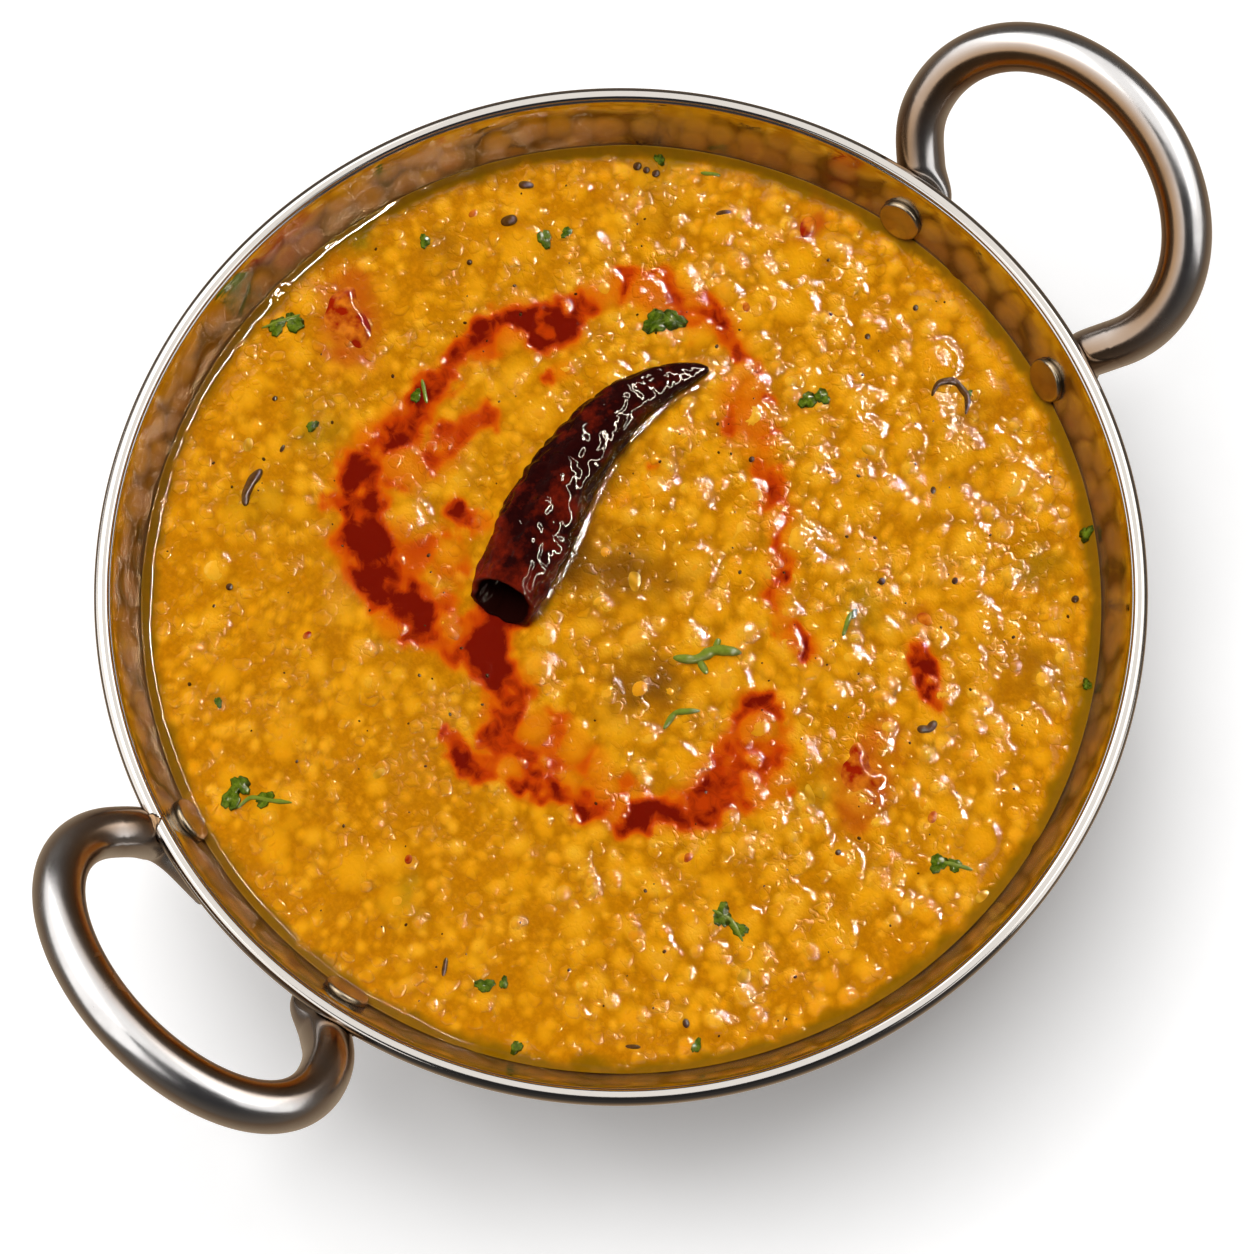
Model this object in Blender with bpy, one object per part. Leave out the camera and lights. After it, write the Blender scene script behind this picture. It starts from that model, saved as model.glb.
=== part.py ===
"""Dal tadka served in a small two-handled karahi.

A pressed, hand-hammered steel bowl with a beaded rim carries two bent rod
handles. Each rod end is flattened into a tab that follows the outer wall and is
fixed by one rivet. Thick lentil dal fills the bowl to a finger's width below
the rim. A dried red chilli and two pieces of tomato lie in it.

Frame: origin at the middle of the flat base, +X towards the larger handle, +Z up.
"""
import math

import bmesh
import bpy
import numpy as np
from mathutils import Matrix, Vector

MM = 0.001
GAP = 0.3 * MM                      # clearance between neighbouring pieces

# Bowl
RIM_RADIUS = 80.0 * MM              # outer radius of the rim bead
BOWL_HEIGHT = 52.0 * MM
WALL = 1.3 * MM                     # sheet thickness
BEAD_WIDTH = 2.6 * MM               # rolled rim
BEAD_HEIGHT = 2.6 * MM
WALL_SLOPE_TOP = math.radians(76)   # wall against the horizontal, just under the rim
WALL_SLOPE_BASE = math.radians(25)  # and where it meets the flat base
SEGMENTS = 54

# Dal
LEVEL = BOWL_HEIGHT - 11.6 * MM     # height of the surface
MENISCUS_RISE = 0.8 * MM            # how far the dal creeps up the wall
MENISCUS_WIDTH = 2.5 * MM
LUMP_HEIGHT = 0.35 * MM             # unevenness of the surface

# Rivets
RIVET_HEAD_RADIUS = 3.6 * MM
RIVET_HEAD_THICKNESS = 1.0 * MM
RIVET_SHANK_RADIUS = 2.0 * MM
RIVET_SIDES = 14

# Handles: the loop of each is an ellipse in a plane that rises outwards
ROD_RADIUS = 3.8 * MM
ROD_SIDES = 12
LOOP_HALF_WIDTH = 25.3 * MM
LOOP_SLOPE = math.radians(38.2)
LOOP_END = 1.85                     # ellipse parameter at which the loop turns into a leg
LOOP_STATIONS = 19
TAB_THICKNESS = 3.2 * MM
TAB_HALF_WIDTH = 5.2 * MM
TAB_BELOW_RIVET = 6.5 * MM
FLATTEN_FROM = 0.62                 # how far down the leg the rod starts to flatten
TAB_ABOVE_RIVET = 2.5 * MM
LEG_RUN_ON = 7 * MM                 # how far a leg runs straight on before it bends
LEG_SWING_UP, LEG_SWING_OUT = 2.5 * MM, 3.0 * MM   # how it swings over the wall into its tab

# Each handle: side (+1 or -1 along X), loop reach, loop centre outwards and above
# the rim, turn about Z, turn within its own plane, and its two legs as
# (rivet angle from the handle's axis, rivet depth below the rim, tab flare inwards)
HANDLES = {
    "right": dict(side=1, reach=19.7 * MM, out=89.0 * MM, rise=3.7 * MM,
                  turn=math.radians(0.3), roll=math.radians(-7.2),
                  legs=((12.2, 8.2 * MM, 0.5 * MM), (-14.7, 8.6 * MM, 0.5 * MM))),
    "left": dict(side=-1, reach=16.1 * MM, out=86.5 * MM, rise=4.1 * MM,
                 turn=math.radians(2.8), roll=math.radians(-3.8),
                 legs=((15.2, 9.3 * MM, 1.0 * MM), (-12.4, 9.3 * MM, 7.5 * MM))),
}

# Dried chilli: a cubic curve seen from above, from the open stalk end to the tip
CHILLI_PATH = ((-15.9 * MM, 10.2 * MM), (2.3 * MM, 18.2 * MM),
               (17.6 * MM, 27.6 * MM), (34.2 * MM, 17.9 * MM))
CHILLI_HALF_WIDTH = 6.5 * MM
CHILLI_FLATNESS = 0.78              # height over width
CHILLI_LIFT = (3.7 * MM, 3.5 * MM, 1.6 * MM)   # centre above the dal: stalk end, middle, tip
CHILLI_MOUTH = 0.84                 # width at the open end over the full width
CHILLI_WIDEST = 0.22                # where along it is widest
CHILLI_TAPER = 0.48                 # bluntness of the taper from there to the tip
CHILLI_TIP = 0.005                  # how much short of a point the tip ends, along the length
CHILLI_SKIN = 0.9 * MM
CHILLI_HOLLOW = 0.20                # how much of its length the open end reaches in
CHILLI_SIDES = 14
CHILLI_STATIONS = 22

# Tomato pieces: (x, y), length, width, angle from +X
TOMATOES = {
    "tomato_back": ((-2.6 * MM, 62.3 * MM), 12.5 * MM, 8.0 * MM, math.radians(75)),
    "tomato_front": ((8.3 * MM, -46.9 * MM), 12.0 * MM, 8.5 * MM, math.radians(62)),
}
TOMATO_THICKNESS = 3.6 * MM
TOMATO_SHOWS = 0.7 * MM             # how far a piece stands above the dal


def clear_scene():
    """Remove every object, so that the model starts from nothing."""
    for item in list(bpy.data.objects):
        bpy.data.objects.remove(item, do_unlink=True)


def material(name, colour, roughness, metallic=0.0):
    """A Principled material with one colour, given in linear light."""
    made = bpy.data.materials.new(name)
    made.use_nodes = True
    shader = made.node_tree.nodes["Principled BSDF"]
    shader.inputs["Base Color"].default_value = (*colour, 1.0)
    shader.inputs["Roughness"].default_value = roughness
    shader.inputs["Metallic"].default_value = metallic
    made.diffuse_color = (*colour, 1.0)
    return made


def add_object(name, mesh_data, mat=None, smooth_angle=40):
    """Put a bmesh into the scene as a named object, shaded smooth up to an angle."""
    bmesh.ops.recalc_face_normals(mesh_data, faces=mesh_data.faces)
    mesh = bpy.data.meshes.new(name)
    mesh_data.to_mesh(mesh)
    mesh_data.free()
    mesh.shade_smooth()
    mesh.set_sharp_from_angle(angle=math.radians(smooth_angle))
    item = bpy.data.objects.new(name, mesh)
    bpy.context.collection.objects.link(item)
    if mat:
        mesh.materials.append(mat)
    return item


def as_cutter(item):
    """Mark an object as a cutting tool that isn't part of the model."""
    item.hide_render = True
    item.display_type = "WIRE"
    return item


def cut(item, cutter):
    """Subtract a cutter from an object."""
    step = item.modifiers.new("cut_" + cutter.name, "BOOLEAN")
    step.operation = "DIFFERENCE"
    step.solver = "EXACT"
    step.object = cutter


def turned(profile, sides, start=0.0):
    """Turn a profile of (radius, height) points that starts and ends on the axis."""
    body = bmesh.new()
    low = body.verts.new((0, 0, profile[0][1]))
    high = body.verts.new((0, 0, profile[-1][1]))
    rings = []
    for radius, height in profile[1:-1]:
        angles = [start + 2 * math.pi * k / sides for k in range(sides)]
        rings.append([body.verts.new((radius * math.cos(a), radius * math.sin(a), height)) for a in angles])
    for k in range(sides):
        following = (k + 1) % sides
        body.faces.new((low, rings[0][following], rings[0][k]))
        for one, two in zip(rings, rings[1:]):
            body.faces.new((one[k], one[following], two[following], two[k]))
        body.faces.new((high, rings[-1][k], rings[-1][following]))
    return body


def lofted(rings):
    """Skin a row of rings, each a list of points, and cap both ends."""
    body = bmesh.new()
    loops = [[body.verts.new(point) for point in ring] for ring in rings]
    count = len(loops[0])
    for one, two in zip(loops, loops[1:]):
        for k in range(count):
            following = (k + 1) % count
            body.faces.new((one[k], one[following], two[following], two[k]))
    for loop in (loops[0], loops[-1]):
        middle = body.verts.new(sum((v.co for v in loop), Vector()) / count)
        for k in range(count):
            body.faces.new((loop[k], loop[(k + 1) % count], middle))
    return body


# The bowl's wall, inside and outside, is one arc turned about Z.
BEAD_INNER = RIM_RADIUS - BEAD_WIDTH
BEAD_MIDDLE = BOWL_HEIGHT - BEAD_HEIGHT / 2
TOP_ANGLE = math.pi / 2 - WALL_SLOPE_TOP
BASE_ANGLE = math.pi / 2 - WALL_SLOPE_BASE
ARC_RADIUS = (BEAD_MIDDLE - WALL) / (math.sin(BASE_ANGLE) - math.sin(TOP_ANGLE))
ARC_CENTRE = (BEAD_INNER - ARC_RADIUS * math.cos(TOP_ANGLE), BEAD_MIDDLE + ARC_RADIUS * math.sin(TOP_ANGLE))


def wall_point(height, offset=0.0):
    """Radius at a height on the inner wall, moved outwards by an offset, and the outward normal."""
    radius = ARC_RADIUS + offset
    down = math.asin(min(1.0, (ARC_CENTRE[1] - height) / radius))
    return ARC_CENTRE[0] + radius * math.cos(down), math.cos(down), -math.sin(down)


def wall_arc(offset, high, low, count):
    """Points down the wall between two heights, evenly spaced along the arc."""
    radius = ARC_RADIUS + offset
    first = math.asin((ARC_CENTRE[1] - high) / radius)
    last = math.asin(min(1.0, (ARC_CENTRE[1] - low) / radius))
    angles = [first + (last - first) * k / (count - 1) for k in range(count)]
    return [(ARC_CENTRE[0] + radius * math.cos(a), ARC_CENTRE[1] - radius * math.sin(a)) for a in angles]


def bead_arc(grow, first, last, count):
    """Points round the rim bead, a squarish oval, between two angles."""
    points = []
    for k in range(count):
        angle = first + (last - first) * k / (count - 1)
        across = math.copysign(abs(math.cos(angle)) ** 0.7, math.cos(angle))
        up = math.copysign(abs(math.sin(angle)) ** 0.7, math.sin(angle))
        points.append((RIM_RADIUS - BEAD_WIDTH / 2 + (BEAD_WIDTH / 2 + grow) * across,
                       BEAD_MIDDLE + (BEAD_HEIGHT / 2 + grow) * up))
    return points


def make_bowl(mat):
    """The karahi: flat base, curved wall, rim bead."""
    under_bead = BOWL_HEIGHT - BEAD_HEIGHT - 0.3 * MM
    outside = wall_arc(WALL, under_bead, 0.0, 9)[::-1]
    bead = bead_arc(0.0, math.radians(-50), math.radians(180), 7)
    inside = wall_arc(0.0, BEAD_MIDDLE, WALL, 9)[1:]
    profile = [(0, 0)] + outside + bead + inside + [(0, WALL)]
    return add_object("karahi", turned(profile, SEGMENTS), mat)


def outer_shape(name):
    """The bowl's outside grown by the gap, to trim what lies against it."""
    under_bead = BOWL_HEIGHT - BEAD_HEIGHT - 0.3 * MM
    outside = wall_arc(WALL + GAP, under_bead, 0.0, 9)[::-1]
    bead = bead_arc(GAP, math.radians(-50), math.radians(90), 7)
    profile = [(0, 0)] + outside + bead + [(0, BOWL_HEIGHT + GAP)]
    return as_cutter(add_object(name, turned(profile, SEGMENTS)))


def rivet_frame(angle, depth):
    """Where a rivet's axis meets the inner wall, and its matrix: +Z points into the bowl."""
    radius, out, down = wall_point(BOWL_HEIGHT - depth)
    place = Vector((radius * math.cos(angle), radius * math.sin(angle), BOWL_HEIGHT - depth))
    inward = Vector((-out * math.cos(angle), -out * math.sin(angle), -down))
    return place, Matrix.Translation(place) @ inward.to_track_quat("Z", "Y").to_matrix().to_4x4()


def make_rivet(name, matrix, mat):
    """A rivet: low flat head inside, shank through wall and tab, domed head outside."""
    head, thick, shank = RIVET_HEAD_RADIUS, RIVET_HEAD_THICKNESS, RIVET_SHANK_RADIUS
    outside = -(WALL + GAP + TAB_THICKNESS + GAP)
    profile = [(0, outside - 1.5 * MM), (head * 0.55, outside - 1.3 * MM), (head * 0.9, outside - 0.6 * MM),
               (head * 0.9, outside), (shank, outside), (shank, GAP), (head, GAP),
               (head, GAP + thick * 0.6), (head - 0.5 * MM, GAP + thick), (0, GAP + thick)]
    item = add_object(name, turned(profile, RIVET_SIDES), mat)
    item.matrix_world = matrix
    return item


def make_rivet_hole(name, matrix):
    """The hole for a rivet's shank, with the tab faced flat under the outer head."""
    face = -(WALL + GAP + TAB_THICKNESS)
    seat = RIVET_HEAD_RADIUS + GAP
    radius = RIVET_SHANK_RADIUS + GAP
    profile = [(0, face - 6 * MM), (seat, face - 6 * MM), (seat, face), (radius, face),
               (radius, 3 * MM), (0, 3 * MM)]
    item = as_cutter(add_object(name, turned(profile, RIVET_SIDES)))
    item.matrix_world = matrix
    return item


def make_head_pocket(name, matrix):
    """The room that a rivet's inner head takes in the dal."""
    radius = RIVET_HEAD_RADIUS + GAP
    low, high = -2 * MM, GAP + RIVET_HEAD_THICKNESS + GAP
    profile = [(0, low), (radius, low), (radius, high), (0, high)]
    item = as_cutter(add_object(name, turned(profile, RIVET_SIDES)))
    item.matrix_world = matrix
    return item


def loop_point(handle, t):
    """Centre of the rod at ellipse parameter t, and the direction out of the loop in its plane."""
    spin, turn = handle["roll"], handle["turn"]
    along, across = handle["reach"] * math.cos(t), LOOP_HALF_WIDTH * math.sin(t)
    outwards = Vector((LOOP_HALF_WIDTH * math.cos(t), handle["reach"] * math.sin(t))).normalized()
    rolled = Matrix.Rotation(spin, 2)
    along, across = rolled @ Vector((along, across))
    outwards = rolled @ outwards
    rise = Vector((math.cos(LOOP_SLOPE), 0, math.sin(LOOP_SLOPE)))
    side = Vector((0, 1, 0))
    centre = Vector((handle["out"], 0, BOWL_HEIGHT + handle["rise"]))
    turned_by = Matrix.Rotation(turn + (0 if handle["side"] > 0 else math.pi), 3, "Z")
    return (turned_by @ (centre + rise * along + side * across),
            turned_by @ (rise * outwards.x + side * outwards.y))


def leg_points(handle, leg, end_point, end_direction):
    """Stations down one leg: a bend from the loop to the wall, then the tab.

    The bend is a cubic curve. Each station is (centre, width direction, blend),
    where blend runs from 0, a round rod, to 1, a flat tab.
    """
    degrees, depth, _ = leg
    angle = math.radians(degrees) + (0 if handle["side"] > 0 else math.pi)
    sign = 1 if degrees > 0 else -1
    sideways = Vector((-math.sin(angle), math.cos(angle), 0)) * sign
    rivet_height = BOWL_HEIGHT - depth
    offset = WALL + GAP + TAB_THICKNESS / 2

    def on_wall(height):
        radius, out, down = wall_point(height, offset)
        outward = Vector((out * math.cos(angle), out * math.sin(angle), down))
        return Vector((radius * math.cos(angle), radius * math.sin(angle), height)), outward

    top, outward = on_wall(rivet_height + TAB_ABOVE_RIVET)
    down_wall = sideways.cross(outward).normalized()
    if down_wall.z > 0:
        down_wall.negate()
    controls = [end_point, end_point + end_direction * LEG_RUN_ON,
                top - down_wall * LEG_SWING_UP + outward * LEG_SWING_OUT, top]
    stations = []
    for k in range(1, 8):
        t = k / 7
        weights = ((1 - t) ** 3, 3 * t * (1 - t) ** 2, 3 * t * t * (1 - t), t ** 3)
        centre = sum((w * c for w, c in zip(weights, controls)), Vector())
        late = max(0.0, (t - FLATTEN_FROM) / (1 - FLATTEN_FROM))
        stations.append((centre, sideways, late * late * (3 - 2 * late)))
    for k in range(1, 5):
        height = rivet_height + TAB_ABOVE_RIVET - (TAB_ABOVE_RIVET + TAB_BELOW_RIVET) * k / 4
        stations.append((on_wall(height)[0], sideways, 1.0 + 0.4 * (k / 4) ** 3))
    return stations


def handle_section(centre, tangent, width_hint, blend, flare):
    """One ring of the rod: a circle that widens and flattens into the tab.

    A blend above 1 narrows the tab again towards its rounded end. The flare
    widens only the side that faces the middle of the loop.
    """
    width = (width_hint - tangent * width_hint.dot(tangent)).normalized()
    normal = tangent.cross(width).normalized()
    flat = min(blend, 1.0)
    narrowing = 1.0 - 1.2 * max(0.0, blend - 1.0)
    outer = (ROD_RADIUS + (TAB_HALF_WIDTH - ROD_RADIUS) * flat) * narrowing
    inner = outer + flare * flat ** 2 * narrowing ** 2
    thick = ROD_RADIUS + (TAB_THICKNESS / 2 - ROD_RADIUS) * flat
    ring = []
    for k in range(ROD_SIDES):
        angle = 2 * math.pi * k / ROD_SIDES
        reach = outer if math.cos(angle) > 0 else inner
        ring.append(centre + width * (reach * math.cos(angle)) + normal * (thick * math.sin(angle)))
    return ring


def make_handle(name, handle, mat, trim):
    """A bent rod handle: loop, two legs and two flattened tabs."""
    loop = []
    for k in range(LOOP_STATIONS):
        t = -LOOP_END + 2 * LOOP_END * k / (LOOP_STATIONS - 1)
        centre, outwards = loop_point(handle, t)
        loop.append((centre, outwards, 0.0))
    ends = []
    for leg, here, inside in ((handle["legs"][0], loop[-1], loop[-2]),
                              (handle["legs"][1], loop[0], loop[1])):
        direction = (here[0] - inside[0]).normalized()
        ends.append(leg_points(handle, leg, here[0], direction))
    stations = ends[1][::-1] + loop + ends[0]
    centres = [s[0] for s in stations]
    rings = []
    for k, (centre, hint, blend) in enumerate(stations):
        tangent = (centres[min(k + 1, len(centres) - 1)] - centres[max(k - 1, 0)]).normalized()
        first_half = k < len(stations) / 2
        flare = handle["legs"][1 if first_half else 0][2]
        ring = handle_section(centre, tangent, hint, blend, flare)
        rings.append(ring)
    item = add_object(name, lofted(rings), mat)
    cut(item, trim)
    return item


def surface_height(x, y):
    """The dal's surface: low lumps, a dip at the chilli's open end, and a rise at the wall."""
    lumps = (math.sin(x / (6.1 * MM) + 1.3) * math.sin(y / (5.3 * MM) - 0.4)
             + 0.6 * math.sin((x + 1.7 * y) / (9.7 * MM)) + 0.5 * math.sin((1.4 * x - y) / (7.9 * MM) + 2.0))
    wall = wall_point(LEVEL, -GAP)[0]
    from_wall = max(0.0, wall - math.hypot(x, y))
    rise = MENISCUS_RISE * math.exp(-(from_wall / MENISCUS_WIDTH) ** 2)
    dip = 0.6 * MM * math.exp(-((x + 19 * MM) ** 2 + (y - 9 * MM) ** 2) / (6 * MM) ** 2)
    calm = 1.0 - math.exp(-(from_wall / (2 * MENISCUS_WIDTH)) ** 2)
    return LEVEL + LUMP_HEIGHT * lumps * calm / 1.6 + rise - dip


def make_dal(mat):
    """The dal: the wall's shape less the gap, closed on top by its uneven surface."""
    body = bmesh.new()
    edge_height = LEVEL + MENISCUS_RISE
    sides = wall_arc(-GAP, edge_height, WALL + GAP, 8)
    angles = [2 * math.pi * k / SEGMENTS for k in range(SEGMENTS)]
    rings = [[body.verts.new((r * math.cos(a), r * math.sin(a), z)) for a in angles] for r, z in sides]
    base = body.verts.new((0, 0, WALL + GAP))
    edge_radius = sides[0][0]
    surface = [rings[0]]
    for share in (0.968, 0.92, 0.84, 0.74, 0.64, 0.53, 0.42, 0.31, 0.20, 0.09):
        ring = []
        for a in angles:
            x, y = edge_radius * share * math.cos(a), edge_radius * share * math.sin(a)
            ring.append(body.verts.new((x, y, surface_height(x, y))))
        surface.append(ring)
    top = body.verts.new((0, 0, surface_height(0, 0)))
    for k in range(SEGMENTS):
        following = (k + 1) % SEGMENTS
        for one, two in list(zip(rings, rings[1:])) + list(zip(surface, surface[1:])):
            body.faces.new((one[k], one[following], two[following], two[k]))
        body.faces.new((rings[-1][k], rings[-1][following], base))
        body.faces.new((surface[-1][k], surface[-1][following], top))
    return add_object("dal", body, mat)


def chilli_station(t):
    """Centre, tangent and half-width of the chilli at t, from 0 at the stalk end to 1 at the tip."""
    path = [Vector(p) for p in CHILLI_PATH]
    weights = ((1 - t) ** 3, 3 * t * (1 - t) ** 2, 3 * t * t * (1 - t), t ** 3)
    slopes = (-3 * (1 - t) ** 2, 3 * (1 - t) * (1 - 3 * t), 3 * t * (2 - 3 * t), 3 * t * t)
    flat = sum((w * p for w, p in zip(weights, path)), Vector((0, 0)))
    along = sum((s * p for s, p in zip(slopes, path)), Vector((0, 0)))
    start, middle, tip = CHILLI_LIFT
    lift = start * (1 - t) ** 2 + 2 * middle * t * (1 - t) + tip * t * t
    if t < CHILLI_WIDEST:
        share = CHILLI_MOUTH + (1 - CHILLI_MOUTH) * t / CHILLI_WIDEST
    else:
        share = (1 - (t - CHILLI_WIDEST) / (1 - CHILLI_WIDEST + CHILLI_TIP)) ** CHILLI_TAPER
    half = CHILLI_HALF_WIDTH * share
    lift_slope = 2 * (middle - start) * (1 - t) + 2 * (tip - middle) * t
    centre = Vector((flat.x, flat.y, LEVEL + lift))
    return centre, Vector((along.x, along.y, lift_slope)).normalized(), half


def chilli_ring(t, grow=0.0):
    """One ring of the chilli, flattened and puckered by long folds."""
    centre, tangent, half = chilli_station(t)
    side = tangent.cross(Vector((0, 0, 1))).normalized()
    up = side.cross(tangent).normalized()
    ring = []
    for k in range(CHILLI_SIDES):
        angle = 2 * math.pi * k / CHILLI_SIDES
        fold = 1 + 0.05 * math.sin(3 * angle + 9 * t) + 0.035 * math.sin(5 * angle - 23 * t)
        reach = half * fold + grow
        ring.append(centre + side * (reach * math.cos(angle))
                    + up * (CHILLI_FLATNESS * reach * math.sin(angle)))
    return ring


def make_chilli(mat):
    """The dried chilli: a closed curved skin whose stalk end is open and hollow."""
    inner = [chilli_ring(CHILLI_HOLLOW * k / 3, -CHILLI_SKIN * (1 + 1.2 * k / 3)) for k in (3, 2, 1, 0)]
    outer = [chilli_ring(k / (CHILLI_STATIONS - 1)) for k in range(CHILLI_STATIONS)]
    return add_object("dried_chilli", lofted(inner + outer), mat, smooth_angle=60)


def make_chilli_pocket():
    """The room that the chilli takes in the dal."""
    rings = [chilli_ring(k / (CHILLI_STATIONS - 1), GAP) for k in range(CHILLI_STATIONS)]
    ahead = chilli_station(0.0)[1] * (2 * GAP)
    rings.insert(0, [point - ahead for point in rings[0]])
    beyond = chilli_station(1.0)[1] * (2 * GAP)
    rings.append([point + beyond for point in rings[-1]])
    return as_cutter(add_object("chilli_pocket", lofted(rings)))


def tomato_body(place, length, width, angle, grow, seed):
    """A soft, uneven lump: an oval in plan with a rounded-off thickness."""
    body = bmesh.new()
    bmesh.ops.create_icosphere(body, subdivisions=2, radius=1.0)
    turn = Matrix.Rotation(angle, 3, "Z")
    for vert in body.verts:
        x, y, z = vert.co
        angle_round, from_axis = math.atan2(y, x), math.hypot(x, y)
        uneven = 1 + from_axis * (0.10 * math.sin(3 * angle_round + seed)
                                  + 0.06 * math.sin(5 * angle_round - seed))
        squared = math.copysign(abs(z) ** 0.8, z)
        local = Vector((x * uneven * (length / 2 + grow), y * uneven * (width / 2 + grow),
                        squared * (TOMATO_THICKNESS / 2 + grow)))
        height = LEVEL + TOMATO_SHOWS - TOMATO_THICKNESS / 2
        vert.co = turn @ local + Vector((place[0], place[1], height))
    return body


def main():
    clear_scene()
    steel = material("hammered_steel", (0.50, 0.47, 0.44), 0.28, 1.0)
    rod_steel = material("polished_steel", (0.56, 0.53, 0.51), 0.16, 1.0)
    dal_food = material("dal", (0.75, 0.30, 0.02), 0.35)
    chilli_skin = material("chilli_skin", (0.08, 0.008, 0.005), 0.25)
    tomato_flesh = material("tomato", (0.55, 0.07, 0.02), 0.3)

    bowl = make_bowl(steel)
    trim = outer_shape("outside_of_bowl")
    dal = make_dal(dal_food)
    for side, handle in HANDLES.items():
        made = make_handle(f"handle_{side}", handle, rod_steel, trim)
        for number, (degrees, depth, _) in enumerate(handle["legs"], start=1):
            angle = math.radians(degrees) + (0 if handle["side"] > 0 else math.pi)
            _, matrix = rivet_frame(angle, depth)
            name = f"rivet_{side}_{number}"
            make_rivet(name, matrix, rod_steel)
            hole = make_rivet_hole(name + "_hole", matrix)
            cut(made, hole)
            cut(bowl, hole)
            cut(dal, make_head_pocket(name + "_pocket", matrix))

    make_chilli(chilli_skin)
    cut(dal, make_chilli_pocket())
    for seed, (name, (place, length, width, angle)) in enumerate(TOMATOES.items(), start=1):
        piece = tomato_body(place, length, width, angle, 0.0, seed)
        add_object(name, piece, tomato_flesh)
        pocket = tomato_body(place, length, width, angle, GAP, seed)
        cut(dal, as_cutter(add_object(name + "_pocket", pocket)))
    bpy.context.view_layer.update()


main()
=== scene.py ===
import itertools
import math

import bpy
import numpy as np
from mathutils import Matrix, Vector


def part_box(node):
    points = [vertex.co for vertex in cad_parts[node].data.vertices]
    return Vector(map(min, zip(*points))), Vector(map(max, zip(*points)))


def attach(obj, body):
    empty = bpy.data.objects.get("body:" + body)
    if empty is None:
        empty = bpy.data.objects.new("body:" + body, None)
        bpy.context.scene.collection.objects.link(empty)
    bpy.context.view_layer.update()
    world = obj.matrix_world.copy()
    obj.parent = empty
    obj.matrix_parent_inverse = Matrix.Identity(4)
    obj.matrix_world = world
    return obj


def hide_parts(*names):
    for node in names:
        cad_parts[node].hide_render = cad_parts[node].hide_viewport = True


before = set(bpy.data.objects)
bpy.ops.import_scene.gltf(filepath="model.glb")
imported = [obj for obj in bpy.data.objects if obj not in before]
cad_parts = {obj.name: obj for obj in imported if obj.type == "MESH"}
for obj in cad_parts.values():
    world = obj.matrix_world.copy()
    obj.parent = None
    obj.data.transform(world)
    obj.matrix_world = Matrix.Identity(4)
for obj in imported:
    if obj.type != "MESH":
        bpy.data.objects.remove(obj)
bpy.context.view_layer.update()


# ---------------------------------------------------------------- camera
# The dish is seen steeply from above, turned so that the smaller handle points to the
# lower left. The camera aims a little below the rim's middle.
MM = 0.001
RIM_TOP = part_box("karahi")[1].z
LOOK_AZIMUTH = math.radians(-41.5)
LOOK_ELEVATION = math.radians(75.66)
CAMERA_DISTANCE = 450 * MM
AIM_RIGHT, AIM_UP = 0.9 * MM, -8.2 * MM      # where the camera looks, from the rim's middle
FOCAL_LENGTH, SENSOR_WIDTH = 85.24, 36.0      # in mm, as lenses are marked
toward_camera = np.array([math.sin(LOOK_AZIMUTH) * math.cos(LOOK_ELEVATION),
                          -math.cos(LOOK_AZIMUTH) * math.cos(LOOK_ELEVATION),
                          math.sin(LOOK_ELEVATION)])
picture_right = np.array([math.cos(LOOK_AZIMUTH), math.sin(LOOK_AZIMUTH), 0.0])
picture_up = np.cross(toward_camera, picture_right)
place = (np.array([0, 0, RIM_TOP]) + toward_camera * CAMERA_DISTANCE
         + picture_right * AIM_RIGHT + picture_up * AIM_UP)
camera = bpy.data.objects.new("camera", bpy.data.cameras.new("camera"))
bpy.context.collection.objects.link(camera)
camera.data.lens, camera.data.sensor_width = FOCAL_LENGTH, SENSOR_WIDTH
camera.data.clip_start = 10 * MM
turn = Matrix(np.stack([picture_right, picture_up, toward_camera], 1).tolist())
camera.matrix_world = Matrix.Translation(place.tolist()) @ turn.to_4x4()
bpy.context.scene.camera = camera


# ---------------------------------------------------------------- karahi
# A bowl pressed from one 1.3 mm steel sheet and hammered by hand inside and out;
# its rim is rolled outwards into a bead, then turned bright, with a fine groove
# where the bead meets the wall.
RIM_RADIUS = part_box("karahi")[1].x
WALL = 1.3 * MM
BEAD = 2.6 * MM                               # width and height of the rolled rim
WALL_SLOPE_TOP, WALL_SLOPE_BASE = math.radians(76), math.radians(25)
DAL_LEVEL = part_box("dal")[1].z - 0.8 * MM     # its box ends at the creep up the wall
BLOW = 4.6 * MM                               # spacing of the hammer blows
BLOWS_ROUND = 108
BLOW_DEPTH = 0.42 * MM
WOBBLE = 0.12 * MM                            # how far the hammering leaves the wall out of round
SIDES = 720

bead_middle = RIM_TOP - BEAD / 2
bead_inner = RIM_RADIUS - BEAD
wall_first, wall_last = math.pi / 2 - WALL_SLOPE_TOP, math.pi / 2 - WALL_SLOPE_BASE
wall_radius = (bead_middle - WALL) / (math.sin(wall_last) - math.sin(wall_first))
wall_centre = (bead_inner - wall_radius * math.cos(wall_first),
               bead_middle + wall_radius * math.sin(wall_first))


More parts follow.
